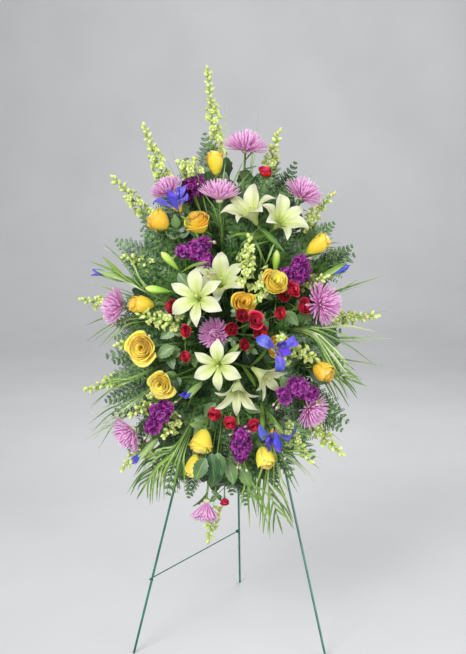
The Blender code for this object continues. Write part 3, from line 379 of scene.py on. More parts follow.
def on_face(node):
    """A CAD node's points in the face's axes, each once."""
    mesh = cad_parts[node].data
    points = np.zeros(3 * len(mesh.vertices))
    mesh.vertices.foreach_get("co", points)
    points = np.unique(points.reshape(-1, 3).round(6), axis=0)
    return (points - FACE) @ AXES


# %% [markdown]
# A finished piece is one mesh at the origin. Its parts come in the face's axes, one list for each finish,
# and are carried into the frame here. Edges sharper than CREASE stay sharp, so that a petal's thin rim
# doesn't blur the shading of its two sides.

# %% Making a piece
CREASE = math.radians(70)
SPRAY = "easel_and_spray"
made_triangles = {}


def make_piece(name, layers, nodes=()):
    """One object from its layers, each a material and its parts; it rides with the spray."""
    layers = [(material, gathered(parts)) for material, parts in layers if parts]
    whole = gathered([part for _, part in layers])
    mesh = bpy.data.meshes.new(name)
    points = FACE + whole.points @ AXES.T
    mesh.vertices.add(len(points))
    mesh.vertices.foreach_set("co", points.ravel())
    loops, sizes, finish = [], [], []
    start = 0
    for k, (_, part) in enumerate(layers):
        for block in (part.quads + start, part.tris + start):
            loops.append(block.ravel())
            sizes.append(np.full(len(block), block.shape[1]))
            finish.append(np.full(len(block), k))
        start += len(part.points)
    loops, sizes, finish = (np.concatenate(values) for values in (loops, sizes, finish))
    mesh.loops.add(len(loops))
    mesh.loops.foreach_set("vertex_index", loops)
    mesh.polygons.add(len(sizes))
    mesh.polygons.foreach_set("loop_start", np.concatenate(([0], np.cumsum(sizes)[:-1])))
    mesh.polygons.foreach_set("material_index", finish)
    mesh.polygons.foreach_set("use_smooth", np.ones(len(sizes), bool))
    mesh.attributes.new("marks", "FLOAT_COLOR", "POINT").data.foreach_set("color", whole.marks.ravel())
    mesh.update(calc_edges=True)
    mesh.set_sharp_from_angle(angle=CREASE)
    for material, _ in layers:
        mesh.materials.append(material)
    made = bpy.data.objects.new(name, mesh)
    scene.collection.objects.link(made)
    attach(made, SPRAY)
    if nodes:
        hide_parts(*nodes)
    made_triangles[name] = int((sizes - 2).sum())


# %% [markdown]
# ## Petal and leaf finishes
#
# Petals are coloured along their length, with a rib, a paler or darker underside, fine veins that run along
# them, and a tone of their own. All of it follows the marks, so the pattern stays on the petal however it
# lies.

# %% Petal finish
def read_marks(tree):
    """The marks: along, across from -1 to 1, the same without its sign, tone and skin."""
    marks = add_node(tree, "Attribute", attribute_name="marks")
    parts = add_node(tree, "SeparateColor", {"Color": marks.outputs["Color"]})
    across = math_node(tree, "MULTIPLY_ADD", parts.outputs["Green"], 2.0, -1.0)
    return (parts.outputs["Red"], across, math_node(tree, "ABSOLUTE", across), parts.outputs["Blue"],
            marks.outputs["Alpha"])


def vein_noise(tree, across, along, tone, fine, stretch, own, detail):
    """Noise fine across and stretched along a petal or leaf; the tone gives each its own pattern."""
    place = add_node(tree, "CombineXYZ", {"X": math_node(tree, "MULTIPLY", across, fine),
                                          "Y": math_node(tree, "MULTIPLY", along, fine * stretch),
                                          "Z": math_node(tree, "MULTIPLY", tone, own)}).outputs["Vector"]
    return add_node(tree, "TexNoise", {"Vector": place, "Scale": 1.0, "Detail": detail}).outputs["Fac"]


def petal_finish(name, stops, under=None, rib=None, edge=None, vein=0.18, fine=9.0, rough=0.5, glow=0.12,
                 bump=0.25, tones=0.22, hues=0.02):
    """stops are places along the petal, each with its colour as in a paint chart. under is the lower skin's
    colour and its share, rib a colour, its half width and how far it runs, edge a colour and its share at the
    rim. vein is how dark the veins are."""
    material, tree, shader = blank(name)
    along, across, off, tone, skin = read_marks(tree)
    colour = ramp(tree, along, [(place, paint(*chart)) for place, *chart in stops])
    if under:
        share = math_node(tree, "MULTIPLY", spread(tree, skin, 0.4, 0.8), under[1])
        colour = mix(tree, share, colour, under[0])
    if rib:
        narrow = spread(tree, off, 0.0, rib[1], 1.0, 0.0)
        short = spread(tree, along, rib[2] * 0.4, rib[2], 1.0, 0.0)
        colour = mix(tree, math_node(tree, "MULTIPLY", narrow, short), colour, rib[0])
    if edge:
        rim = math_node(tree, "MAXIMUM", spread(tree, off, 0.62, 1.0), spread(tree, along, 0.86, 1.0))
        colour = mix(tree, math_node(tree, "MULTIPLY", rim, edge[1]), colour, edge[0])
    veins = vein_noise(tree, across, along, tone, fine, stretch=0.14, own=41.0, detail=3.0)
    shade = spread(tree, veins, 0.35, 0.65, 1.0 - vein, 1.0)
    own = spread(tree, tone, 0.0, 1.0, 1.0 - tones, 1.0 + tones * 0.35)
    hue = spread(tree, tone, 0.0, 1.0, 0.5 - hues, 0.5 + hues)
    colour = add_node(tree, "HueSaturation", {"Hue": hue, "Value": math_node(tree, "MULTIPLY", shade, own),
                                              "Color": colour}).outputs["Color"]
    gloss = spread(tree, veins, 0.3, 0.7, rough + 0.08, rough - 0.08)
    dress(tree, shader, colour, gloss, veins, bump, 0.0006)
    shader.inputs["Subsurface Weight"].default_value = glow
    shader.inputs["Subsurface Radius"].default_value = (0.005, 0.0045, 0.003)
    shader.inputs["Subsurface Scale"].default_value = 0.6
    return material


LEMON = petal_finish("lemon_rose_petal", [(0.0, 255, 226, 84), (0.45, 254, 220, 66),
                                          (1.0, 252, 218, 84)],
                     edge=(paint(254, 232, 136), 0.30), vein=0.06, tones=0.08, glow=0.75)
GOLDEN = petal_finish("golden_rose_petal", [(0.0, 255, 214, 64), (0.5, 254, 204, 44),
                                            (1.0, 253, 206, 70)],
                      edge=(paint(253, 216, 108), 0.30), vein=0.06, tones=0.08, glow=0.75)
CRIMSON = petal_finish("crimson_rose_petal", [(0.0, 150, 8, 34), (0.5, 204, 16, 50),
                                              (1.0, 222, 34, 70)],
                       edge=(paint(234, 96, 122), 0.35), rough=0.42, tones=0.28, hues=0.008, glow=0.25)
LILY_WHITE = petal_finish("lily_petal", [(0.0, 160, 188, 58), (0.16, 200, 215, 110),
                                         (0.50, 204, 210, 160), (1.0, 204, 206, 184)],
                          rib=(paint(188, 205, 106), 0.42, 0.9), under=(paint(204, 212, 162), 0.6), vein=0.09,
                          rough=0.42, tones=0.07, hues=0.006, glow=0.18)
MUM_PINK = petal_finish("spider_mum_floret", [(0.0, 204, 100, 174), (0.35, 234, 148, 214),
                                              (0.75, 240, 170, 226), (1.0, 248, 206, 238)],
                        under=(paint(246, 186, 230), 0.75), rib=(paint(208, 112, 184), 0.35, 0.80), vein=0.12,
                        fine=5.0, tones=0.12, hues=0.010, glow=0.35)
IRIS_BLUE = petal_finish("iris_petal", [(0.0, 252, 210, 40), (0.24, 246, 206, 80),
                                        (0.34, 130, 122, 240), (1.0, 88, 76, 222)],
                         rib=(paint(250, 210, 60), 0.16, 0.62), vein=0.30, fine=12.0, tones=0.25)
IRIS_STANDARD = petal_finish("iris_standard", [(0.0, 130, 118, 222), (0.4, 98, 86, 226),
                                               (1.0, 80, 66, 212)], vein=0.28, fine=12.0, tones=0.25)
STOCK_PURPLE = petal_finish("stock_petal", [(0.0, 170, 110, 160), (0.2, 126, 14, 118),
                                            (0.7, 144, 24, 144), (1.0, 176, 60, 176)],
                            edge=(paint(208, 100, 196), 0.35), vein=0.30, tones=0.50, hues=0.03)
LIME_FLORET = petal_finish("lime_floret", [(0.0, 146, 180, 62), (0.5, 204, 220, 118),
                                           (1.0, 232, 238, 176)],
                           under=(paint(214, 230, 132), 0.5), vein=0.12, tones=0.20, glow=0.30)
print("petal finishes", len([m for m in bpy.data.materials if m.name != "studio_floor"]))

# %% [markdown]
# Leaves are made the same way, but their colour also drifts over the spray, because every stem grew
# elsewhere. A lighter rib on the broader ones and a paler back tell the leaves apart from painted shapes.

# %% Leaf finish
def leaf_finish(name, deep, bright, under, rib=None, rough=0.5, tones=0.4, drift=14.0, vein=0.25, fine=6.0,
                bump=0.3):
    """deep and bright are the ends of the leaf's own tones, under is the lower skin's colour."""
    material, tree, shader = blank(name)
    along, across, off, tone, skin = read_marks(tree)
    cloud = noise_in_place(tree, drift, 3.0)
    share = math_node(tree, "MULTIPLY_ADD", tone, tones, math_node(tree, "SUBTRACT", cloud, tones * 0.5))
    colour = ramp(tree, share, [(0.28, deep), (0.72, bright)])
    colour = mix(tree, math_node(tree, "MULTIPLY", spread(tree, skin, 0.4, 0.8), 0.7), colour, under)
    if rib:
        colour = mix(tree, spread(tree, off, 0.0, rib[1], 0.8, 0.0), colour, rib[0])
    veins = vein_noise(tree, across, along, tone, fine, stretch=0.5, own=23.0, detail=2.0)
    darker = ramp(tree, veins, [(0.35, (1 - vein,) * 3 + (1.0,)), (0.65, (1.0,) * 4)])
    gloss = spread(tree, veins, 0.3, 0.7, rough + 0.1, rough - 0.1)
    dress(tree, shader, mix(tree, 1.0, colour, darker, "MULTIPLY"), gloss, veins, bump, 0.0005)
    shader.inputs["Subsurface Weight"].default_value = 0.05
    shader.inputs["Subsurface Radius"].default_value = (0.002, 0.003, 0.001)
    return material


STEM_GREEN = leaf_finish("stem_green", paint(70, 108, 44), paint(120, 156, 74), paint(96, 130, 66))
PALE_STEM = leaf_finish("pale_stem", paint(132, 164, 74), paint(178, 202, 112), paint(150, 178, 90))
SHEATH = leaf_finish("iris_sheath", paint(98, 146, 62), paint(176, 204, 122), paint(160, 190, 118))
FERN_GREEN = leaf_finish("leatherleaf_fern", paint(20, 54, 24), paint(92, 136, 62), paint(84, 116, 62),
                         rough=0.45, tones=0.7)
PALM_GREEN = leaf_finish("palm_leaflet", paint(58, 104, 34), paint(140, 176, 72), paint(118, 150, 78),
                         rib=(paint(178, 198, 112), 0.16), rough=0.40)
GRASS_GREEN = leaf_finish("grass_blade", paint(112, 148, 74), paint(196, 212, 156), paint(150, 176, 112),
                          rough=0.35)
ROSE_LEAF = leaf_finish("rose_leaf", paint(40, 84, 42), paint(110, 142, 76), paint(142, 160, 116),
                        rib=(paint(150, 172, 108), 0.10), rough=0.42)
DARK_LEAF = leaf_finish("backing_leaf", paint(22, 54, 26), paint(56, 96, 42), paint(76, 104, 60),
                        rib=(paint(96, 126, 70), 0.10), rough=0.40)
print("leaf finishes made")

# %% [markdown]
# ## Where each flower stands
#
# The same lists as in the CAD part: a head's place on the face in centimetres, how far it stands out of the
# domed front, and the way it looks where that isn't straight out. A real head nods and sways on its stem,
# so one more list says how a finished head turns and moves against its plain solid, where it does.

# %% Places
CM = 0.01
DOME_X, DOME_UP, DOME_DOWN, DOME_DEPTH, DOME_EDGE = 0.42, 0.72, 0.58, 0.265, 0.05
HUB_SHARE, LOOK_HUB_REACH, LOOK_HUB_DEPTH = 0.3, 0.08, 0.03
Head = namedtuple("Head", "right up lift look spin")


def bloom(right, up, lift=0.0, look=None, spin=0.0):
    return Head(right * CM, up * CM, lift * CM, look, math.radians(spin))


def dome(right, up):
    """How far forward the spray's round front stands at a place: an ellipsoid's depth over its edge."""
    fall = (right / DOME_X) ** 2 + (up / (DOME_UP if up > 0 else DOME_DOWN)) ** 2
    return DOME_EDGE + (DOME_DEPTH - DOME_EDGE) * math.sqrt(max(0.0, 1 - fall))


def turn_to(way, spin=0.0):
    """The rotation that takes +Z to a direction, after a spin about it."""
    z = unit(way)
    x = unit(np.cross((0.0, 1.0, 0.0) if abs(z[1]) < 0.9 else (1.0, 0.0, 0.0), z))
    x = x * math.cos(spin) + np.cross(z, x) * math.sin(spin)
    return np.stack((x, np.cross(z, x), z), axis=1)


def pose(head, back):
    """A head's base and look: its middle stands on the dome or lifted off it, and its base lies back along
    its look."""
    centre = np.array((head.right, head.up, dome(head.right, head.up) + head.lift))
    hub = np.array((0.0, np.clip(HUB_SHARE * head.up, -LOOK_HUB_REACH, LOOK_HUB_REACH), LOOK_HUB_DEPTH))
    look = unit(head.look) if head.look is not None else unit(centre - hub)
    return centre - look * back, look


SETTLED = {  # a head's move right, up and forward in centimetres, then its look's turn; the rest is 0
    "yellow_rose_01": (-0.6, -0.4, 0, 0, 0.2, -0.2), "yellow_rose_02": (0.8, -0.6, 0, -0.3, 0.1, -0.3),
    "yellow_rose_03": (-0.5, 0, 0, 0, 0, -0.2), "yellow_rose_04": (-1.1, -1.5, 0, 0.2, 0.2, -0.4),
    "yellow_rose_05": (1.2, -0.2), "yellow_rose_06": (-1.7, -0.4, 0, 0.5, 0, 0.6),
    "yellow_rose_07": (-0.6, -0.1, 0, 0.3, 0, 0.3), "yellow_rose_08": (-0.6, -1.0),
    "yellow_rose_09": (0.5, -0.5), "yellow_rose_10": (-0.9, 0.9, 0, 0, -0.2, -0.2),
    "yellow_rose_12": (0.7, 1.2, 0, -0.1, -0.7, -0.5), "yellow_rose_13": (-1.0, 0.8, 0, 0, -0.6, -0.4),
    "yellow_rose_14": (0, 0.4, 0, 0.1, -0.4, -0.2), "spider_mum_01": (-0.5, -1.6),
    "spider_mum_02": (-0.3, -1.0), "spider_mum_03": (0, -1.0), "spider_mum_04": (-0.8, -2.4),
    "spider_mum_05": (1.9, -0.1), "spider_mum_07": (0, -0.3, 4.2, 0, 0.2, 0.6), "spider_mum_08": (1.7, 0.8),
    "spider_mum_10": (0.9, 2.2), "lily_stem_1_0": (1.1, -0.3, 0, 0, -0.15, 0),
    "lily_stem_1_1": (-0.6, -1.0, 0, -0.35, -0.2, 0.15), "lily_stem_2_0": (0.2, -1.6, 0, 0.1, -0.1, 0.25),
    "lily_stem_2_1": (-0.2, -1.9, 0, -0.1, -0.35, 0.3), "lily_stem_3_0": (0.8, 0.4),
    "lily_stem_3_1": (0, 1.2), "lily_stem_3_2": (-0.9, 1.6), "iris_01": (-0.9, -0.9, -4.0, 0, 0.1, 0.1),
    "iris_02": (1.4, -0.6, -1.2), "iris_03": (0, 0.3, 0, -0.1, -0.6, -0.1), "iris_bud_01": (1.6, -1.0),
    "iris_bud_02": (-1.8, -1.5), "iris_bud_03": (1.6, 0, 0.5), "iris_bud_04": (1.9, 1.2),
    "stock_03": (0, -0.9), "red_rose_spray_2_0": (1.0, 0.5), "red_rose_spray_2_2": (2.4, -0.9),
    "red_rose_spray_3_0": (1.1, 0.8), "red_rose_spray_3_1": (1.0, 0.9), "red_rose_spray_3_3": (-0.7, 0.8),
    "red_rose_spray_4_0": (-1.0, -0.9), "red_rose_spray_4_1": (0.2, 1.0, -1.0),
    "red_rose_spray_4_3": (-0.8, 0),
}


def settle(key, head, base, look, route):
    """A head's place, rotation, look and stem line after its turn and its move, if it has any. The stem's
    line follows by the move times the cube of the place along."""
    shift, nod = np.array((*SETTLED.get(key, ()), 0, 0, 0, 0, 0, 0)[:6], float).reshape(2, 3)
    look, shift = unit(look + nod), shift * CM
    share = np.linspace(0, 1, len(route))[:, None]
    return base + shift, turn_to(look, head.spin), look, route + shift * share ** 3


YELLOW_ROSES = [
    bloom(-3.5, 40.5, -4, (-0.1, 1.0, 0.45)), bloom(-17.5, 26), bloom(-7, 24.5, -2, (-0.25, 0.5, 0.7)),
    bloom(21.5, 20.5), bloom(-21.5, 5, 0, (-0.9, 0.0, 0.4)), bloom(-20.5, -5.5), bloom(-16, -14.5),
    bloom(4.5, 6, 0), bloom(10.5, 10.5, 1), bloom(23.5, -11), bloom(12, -5, -3), bloom(-6.5, -28),
    bloom(-7, -34, -1), bloom(9, -31.5),
]
LILY_STEMS = [
    ([bloom(-8.5, 7, 2, (-0.15, 0.2, 1.0)), bloom(-0.5, 12.5, -6, (0.35, 0.5, 0.8))],
     [bloom(-15, 16, 0, (-0.6, 0.6, 0.45)), bloom(-18, 8.5, 0, (-0.95, 0.1, 0.3))]),
    ([bloom(5, 29, 0, (-0.45, 0.75, 0.45)), bloom(13, 28.5, 0, (0.5, 0.7, 0.5))],
     [bloom(11.5, 16.5, -4, (0.05, 0.9, 0.4))]),
    ([bloom(-3, -10.5, 1, (-0.1, -0.15, 1.0)), bloom(2.5, -16.5, 0, (0.05, -0.75, 0.6)),
      bloom(9, -13.5, -3, (0.7, -0.5, 0.5))], []),
]
SPIDER_MUMS = [
    bloom(4, 46), bloom(-15, 34), bloom(-2.5, 32, 1, (0.0, 0.9, 0.35)), bloom(18.5, 35), bloom(-29, 4.5),
    bloom(23, 5.5, 0, (0.8, 0.1, 0.55)), bloom(-3.5, -2, -8), bloom(-25.5, -27), bloom(20.5, -20.5, -2),
    bloom(-6, -46, 0, (-0.1, -1.0, 0.3)),
]
IRISES = [
    bloom(-12, 30, 6, (-0.35, 0.8, 0.5)), bloom(11, -5.5, 6, None, 65), bloom(12, -26.5, 0, (0.3, -0.8, 0.5)),
]
IRIS_BUDS = [bloom(-33, 14), bloom(28, 15), bloom(-10, -16.5, 1), bloom(-23, -33)]
STOCKS = [bloom(-8.5, 18.5, -2), bloom(-10, 35, -3), bloom(17.5, 14), bloom(-17, -22.5), bloom(17.5, -15.5),
          bloom(3.5, -29.5)]
RED_SPRAYS = [
    [bloom(8.5, 38)],
    [bloom(-15, 4, -4), bloom(-10, -2, 1), bloom(-12.5, -7, 0)],
    [bloom(0, -2.2, 1), bloom(2.6, 0.8, 3), bloom(6.8, 0.6, 3), bloom(8.5, -3, 1), bloom(4, -5)],
    [bloom(16.5, 9.5), bloom(13, 6.5, -2), bloom(12.5, 2.5, 1), bloom(19, 4.5)],
    [bloom(-3, -21.5), bloom(0.8, -23.5, 1), bloom(6.5, -24)],
    [bloom(-0.5, -43.5, 0, (0.1, -1.0, 0.5))],
]
print("heads", sum(map(len, (YELLOW_ROSES, SPIDER_MUMS, IRISES, IRIS_BUDS, STOCKS)))
      + sum(len(blooms) + len(buds) for blooms, buds in LILY_STEMS) + sum(map(len, RED_SPRAYS)))

# %% [markdown]
# ## Where each stem runs
#
# In the CAD part every stem tried many ways from the foam to its head until one crossed nothing. The frame
# holds the way that it took. Here all the ways are worked out again at once, and the one whose rings lie on
# the node's own points is the stem's.

# %% Stem routes
KINDS = {  # from the stem's end to the head's middle, the stem's radius, and from its end to its bend
    "lily": (0.035, 0.0032, 0.06), "rose": (0.022, 0.0026, 0.05), "spray_rose": (0.012, 0.0016, 0.03),
    "iris": (0.030, 0.0026, 0.05), "iris_bud": (0.020, 0.0026, 0.05), "stock": (0.030, 0.0026, 0.05),
    "spider_mum": (0.010, 0.0026, 0.05),
}
FOAM_HIGH = np.array((0.0565, 0.1155, 0.084))
FOAM_LOW = np.array((-0.0565, -0.1155, 0.0035))
STEM_HUB_REACH, STEM_HUB_DEPTH, STEM_DEPTH, STEM_STRAIGHT, BRANCH_SLIM = 0.075, 0.045, 0.020, 0.004, 0.8
ROUTE_TRIES = np.array([
    (dx, dy, swing, bow) for swing in (0, -0.02, 0.02, -0.04, 0.04) for bow in (0, -0.02, 0.02, -0.05)
    for dx in (0, -0.012, 0.012, -0.024, 0.024) for dy in (0, -0.012, 0.012, -0.024, 0.024, -0.04, 0.04)
], float)


def foam_exit(hub, target):
    """Where the lines from hubs in the foam to a target leave the foam, and their directions."""
    way = unit(target - hub)
    with np.errstate(divide="ignore", invalid="ignore"):
        steps = np.where(way > 0, (FOAM_HIGH - hub) / way, np.where(way < 0, (FOAM_LOW - hub) / way, np.inf))
    return hub + way * steps.min(axis=-1, keepdims=True), way


def bezier(start, middle, end, steps):
    """A parabola from start to end that leaves towards the middle point."""
    t = np.linspace(0, 1, steps + 1)[:, None]
    return (1 - t) ** 2 * start + 2 * t * (1 - t) * middle + t ** 2 * end


def ring_misfit(centres, points, radius, corners=3):
    """How far the nearest points to each centre are from standing at the radius, summed over the centres."""
    away = np.linalg.norm(centres[..., None, :] - points, axis=-1)
    nearest = np.partition(away, corners - 1, axis=-1)[..., :corners]
    return np.abs(nearest - radius).max(axis=-1).sum(axis=-1)


def stem_route(node, base, look, kind, steps=10):
    """A flower stem's line from inside the foam to its head, the CAD stem's drawn finer, and its point half
    way."""
    radius, lead = KINDS[kind][1:]
    dx, dy, swing, bow = ROUTE_TRIES.T
    zero = np.zeros(len(dx))
    level = np.clip(HUB_SHARE * base[1], -STEM_HUB_REACH, STEM_HUB_REACH)
    hub = np.stack((dx, level + dy, zero + STEM_HUB_DEPTH), -1)
    elbow = base - look * lead
    leave, way = foam_exit(hub, elbow)
    start, outside = leave - way * STEM_DEPTH, leave + way * STEM_STRAIGHT
    middle = elbow + np.stack((swing, zero, bow), -1)
    half_way = 0.25 * outside + 0.5 * middle + 0.25 * base
    off = ring_misfit(np.stack((start, outside, half_way), 1), on_face(node), radius)
    k = int(off.argmin())
    route_misfits[node] = float(off[k])
    return np.vstack((start[k], bezier(outside[k], middle[k], base, steps))), half_way[k]


def branch(fork, base, look, kind, steps=7):
    """A side stem's line from the fork to its own head."""
    return bezier(fork, base - look * KINDS[kind][2] * BRANCH_SLIM, base, steps)


def stand(node, head, kind, key=None, fork=None):
    """A head's place, rotation, look and stem line, and the fork where side stems leave. The first head's
    stem is found again from the frame, and the stems of the others on it run from the fork."""
    base, look = pose(head, KINDS[kind][0])
    if fork is None:
        route, fork = stem_route(node, base, look, kind)
    else:
        route = branch(fork, base, look, kind)
    return *settle(key or node, head, base, look, route), fork


route_misfits = {}
print("ways tried for each stem", len(ROUTE_TRIES))

# %% [markdown]
# ## Petals
#
# Most petals leave the flower's axis, run out along a line of stations and carry their width to both sides.
# A station is a radius, a height and a half width, as in the CAD part; a smooth curve runs through them.

# %% A petal through its stations
GOLDEN_ANGLE = math.pi * (3 - math.sqrt(5))


def petal(angle, stations, cup, rows, cols, thick, ruffle=0.0, waves=2.5, groove=0.0, tone=0.5):
    """At each station the petal spreads to both sides of its line. Towards the axis it rises by cup times the
    half width times the square of the share across, by a wave near its edges, and sinks in a narrow groove
    along its rib."""
    radius, height, half = curve(stations, rows).T[:, :, None]
    half = np.maximum(half, 0.0006)[..., None]
    out = np.array((math.cos(angle), math.sin(angle), 0.0))
    side = np.array((-math.sin(angle), math.cos(angle), 0.0))
    line = out * radius + np.array((0, 0, 1.0)) * height
    inward = np.cross(unit(np.gradient(line, axis=0)), side)
    u = np.linspace(1, -1, cols)[None, :, None]
    s = np.linspace(0, 1, rows)[:, None, None]
    wave = ruffle * np.abs(u) ** 3 * np.sin(math.tau * waves * s + 9 * tone + 1.5 * np.sign(u))
    rise = half * (cup * u ** 2 + wave) - groove * half * np.exp(-(u / 0.22) ** 2)
    return sheet(line[:, None] + side * (half * u) + inward[:, None] * rise, thick, tone)


def sine_halves(wide, start, end, count, swell=1.0, power=1.0):
    """Half widths along a blade: wide times a sine of the place along."""
    return wide * np.sin(np.pi * np.linspace(start, end, count) ** swell) ** power


def strap(line, face, halves, cup, thick=0.0008, tone=0.5):
    """A narrow leaf along a line: its width lies square to the line and to the face, and its edges rise."""
    line = np.asarray(line, float)
    run = unit(np.gradient(line, axis=0))
    side = unit(np.cross(run, face))
    rise = unit(np.cross(side, run))
    u = np.linspace(-1, 1, 3)[None, :, None]
    half = np.maximum(np.broadcast_to(halves, len(line)), 0.0003)[:, None, None]
    grid = line[:, None] + side[:, None] * (half * u) + rise[:, None] * (half * cup * u ** 2)
    return sheet(grid, thick, tone)


print("golden angle", round(math.degrees(GOLDEN_ANGLE), 1))

# %% [markdown]
# ## Roses
#
# A rose's petals come one after another, each a golden angle further round, from a tight spiral in the
# middle to broad outer petals that lean out and roll back their edges. So one petal is written as a
# function of its place in that order, and the order is run through.

# %% Rose head
def rose(wide, tall, count, grid_size, opening, draw):
    """Each petal wraps round the axis on a bowl that closes in towards its top like an egg. The outer ones
    wrap less and, as far as the rose has opened, lean out and roll their lips down. One edge of each lies
    outside its neighbour, the other inside, and every lip turns out a little over the gap behind it and is
    wavy."""
    rows, cols = grid_size
    s = np.linspace(0, 1, rows)[:, None]
    u = np.linspace(-1, 1, cols)[None, :]
    outline = np.sin(np.pi * (0.12 + 0.60 * s)) ** 0.8
    parts = []
    for k in range(count):
        q = k / (count - 1)
        opened = opening * q ** 2 * draw.uniform(0.7, 1.25)
        turn = k * GOLDEN_ANGLE + draw.uniform(-0.25, 0.25)
        bowl = wide * (0.14 + 0.96 * q ** 0.8) * draw.uniform(0.96, 1.04)
        height = tall * (0.95 + 0.07 * math.sin(math.pi * q) - opening * (0.10 * q ** 3 + 0.14 * q)) \
            * draw.uniform(0.97, 1.03)
        wave = np.sin(3.5 * u + draw.uniform(0, 6)) * s ** 3
        angle = turn + (1.95 - 0.85 * q) * outline * u
        swell = (1 - (1 - s) ** 2.4) ** 0.62 - (0.40 - 0.95 * opened) * s ** 3
        lip = (0.07 + 0.20 * opening + 0.04 * np.cos(2 * u)) * s ** 6
        radius = bowl * swell + wide * (0.05 + 0.05 * u * s + 0.05 * q * (1 + 2 * opening) * wave + lip)
        top = height * (s ** 0.92 * (1 - 0.16 * np.abs(u) ** 2.2 * s ** 2) - (0.03 + 0.30 * opened) * s ** 5)
        grid = np.stack((radius * np.cos(angle), radius * np.sin(angle), top), -1)
        parts.append(sheet(grid, 0.028 * wide, draw.random()))
    return parts


def calyx(wide, draw, reach=0.85, drop=0.5):
    """A rounded hip below the petals and five narrow sepals that hang out of it."""
    line = upright(-0.30 * wide, -0.10 * wide, 0.08 * wide, 0.22 * wide)
    parts = [tube(line, np.array((0.10, 0.20, 0.26, 0.28)) * wide, 8, draw.random())]
    for k in range(5):
        fall = drop * draw.uniform(0.4, 1.3)
        stations = [(0.16 * wide, 0.04 * wide, 0.10 * wide), (0.45 * wide, -0.02 * wide, 0.10 * wide),
                    (reach * wide, -fall * wide, 0.015 * wide)]
        parts.append(petal(k * math.tau / 5 + draw.uniform(-0.2, 0.2), stations, cup=-0.3,
                           rows=6, cols=3, thick=0.0008, tone=draw.random()))
    return parts


# %% [markdown]
# A stem is a tube on its route, a little thicker here and there. A rose leaf is an oval sheet with a saw
# edge, folded a little along its rib, and three or five of them share a stalk.

# %% Stems and rose leaves
def stem(route, radius, draw, sides=7):
    """The route's tube, its radius swelling slightly here and there."""
    swell = 1 + 0.10 * np.array([draw.random() for _ in route])
    swell[0] = 1.0
    return tube(route, radius * swell, sides, draw.random(), 0.2)


def oval_leaf(base, way, face, length, draw, share=0.32, rows=11, saw=0.08):
    """An oval sheet: half width is length times share times a sine of the place along, with a saw edge."""
    way = unit(way)
    face = unit(face - way * (np.asarray(face) @ way))
    side = np.cross(way, face)
    s = np.linspace(0, 1, rows)[:, None, None]
    u = np.linspace(-1, 1, 5)[None, :, None]
    teeth = 1 + saw * np.where(np.arange(rows) % 2, 1, -1)[:, None, None] * np.abs(u)
    half = length * share * np.sin(np.pi * np.clip(s, 0.02, 0.985) ** 0.85) ** 0.8 * teeth
    bend = -length * 0.22 * s ** 2 * draw.uniform(0.3, 1.4)
    grid = base + way * (s * length) + side * (half * u) + face * (bend + 0.25 * half * np.abs(u))
    return sheet(grid, 0.0009, draw.random())


def leaf_spray(base, way, face, size, draw, leaflets=5):
    """Leaflets in pairs on a short stalk, with one at its end."""
    way, face = unit(way), unit(face)
    side = unit(np.cross(face, way))
    stalk = bezier(base, base + way * size * 0.5, base + way * size + face * size * 0.1, 5)
    greens = [tube(stalk, 0.0010, 5, draw.random())]
    blades = [oval_leaf(stalk[-1], way, face, size * 0.85, draw)]
    for k in range((leaflets - 1) // 2):
        at = stalk[4 - 2 * k]
        for hand in (-1, 1):
            tilted = face + side * hand * draw.uniform(-0.4, 0.4)
            length = size * draw.uniform(0.6, 0.8)
            blades.append(oval_leaf(at, way * 0.45 + side * hand, tilted, length, draw))
    return greens, blades


ROSE_WIDE, ROSE_TALL, ROSE_GRID = 0.026, 0.046, (12, 9)
CLOSED_PETALS, OPEN_PETALS, OPEN_FROM = 14, 24, 0.3
ROSE_FORMS = [  # petal finish, width and height against a middling rose, and how open it is
    (GOLDEN, 0.80, 1.45, 0.22), (GOLDEN, 1.04, 1.25, 0.28), (GOLDEN, 1.02, 1.25, 0.45),
    (GOLDEN, 0.80, 1.55, 0.25), (GOLDEN, 0.84, 1.45, 0.20), (LEMON, 1.18, 0.95, 0.45),
    (LEMON, 0.94, 1.05, 0.62), (GOLDEN, 0.96, 1.00, 0.35), (LEMON, 1.02, 1.05, 0.40),
    (GOLDEN, 0.98, 1.25, 0.15), (GOLDEN, 1.00, 1.00, 0.40), (LEMON, 0.96, 1.45, 0.45),
    (LEMON, 0.84, 1.40, 0.25), (LEMON, 0.92, 1.25, 0.15),
]
heads_placed = []

for number, (head, (finish, wider, taller, opening)) in enumerate(zip(YELLOW_ROSES, ROSE_FORMS), 1):
    node = f"yellow_rose_{number:02d}"
    draw = random.Random(100 + number)
    base, turn, look, route, _ = stand(node, head, "rose")
    count = CLOSED_PETALS if opening < OPEN_FROM else OPEN_PETALS
    petals = rose(ROSE_WIDE * wider, ROSE_TALL * taller, count, ROSE_GRID, opening, draw)
    greens = placed(calyx(ROSE_WIDE, draw), turn, base) + [stem(route, KINDS["rose"][1], draw)]
    way = unit(route[8] - route[7]) + stray(draw, 1.2, 0.3)
    stalks, blades = leaf_spray(route[7], way, (0, 0, 1), 0.042, draw)
    make_piece(node + "_bloom", [(finish, placed(petals, turn, base)), (STEM_GREEN, greens + stalks),
                                 (ROSE_LEAF, blades)], [node])
    heads_placed.append((base + look * 0.022, 0.036))
print("yellow roses", len(YELLOW_ROSES), "worst misfit in mm", round(1000 * max(route_misfits.values()), 3))

# %% [markdown]
# The red roses are small ones that grow up to five to a stem. They use the same function at six tenths of
# the size, with fewer points, and their side stems leave the main stem half way up.

# %% Red spray roses
SPRAY_WIDE, SPRAY_TALL, SPRAY_PETALS, SPRAY_GRID = 0.015, 0.027, 12, (8, 7)
SMALL_BLOOMS = {"2_1": 0.84, "2_2": 0.84, "3_4": 0.82, "4_2": 0.90, "6_0": 0.68}  # the ones that open later


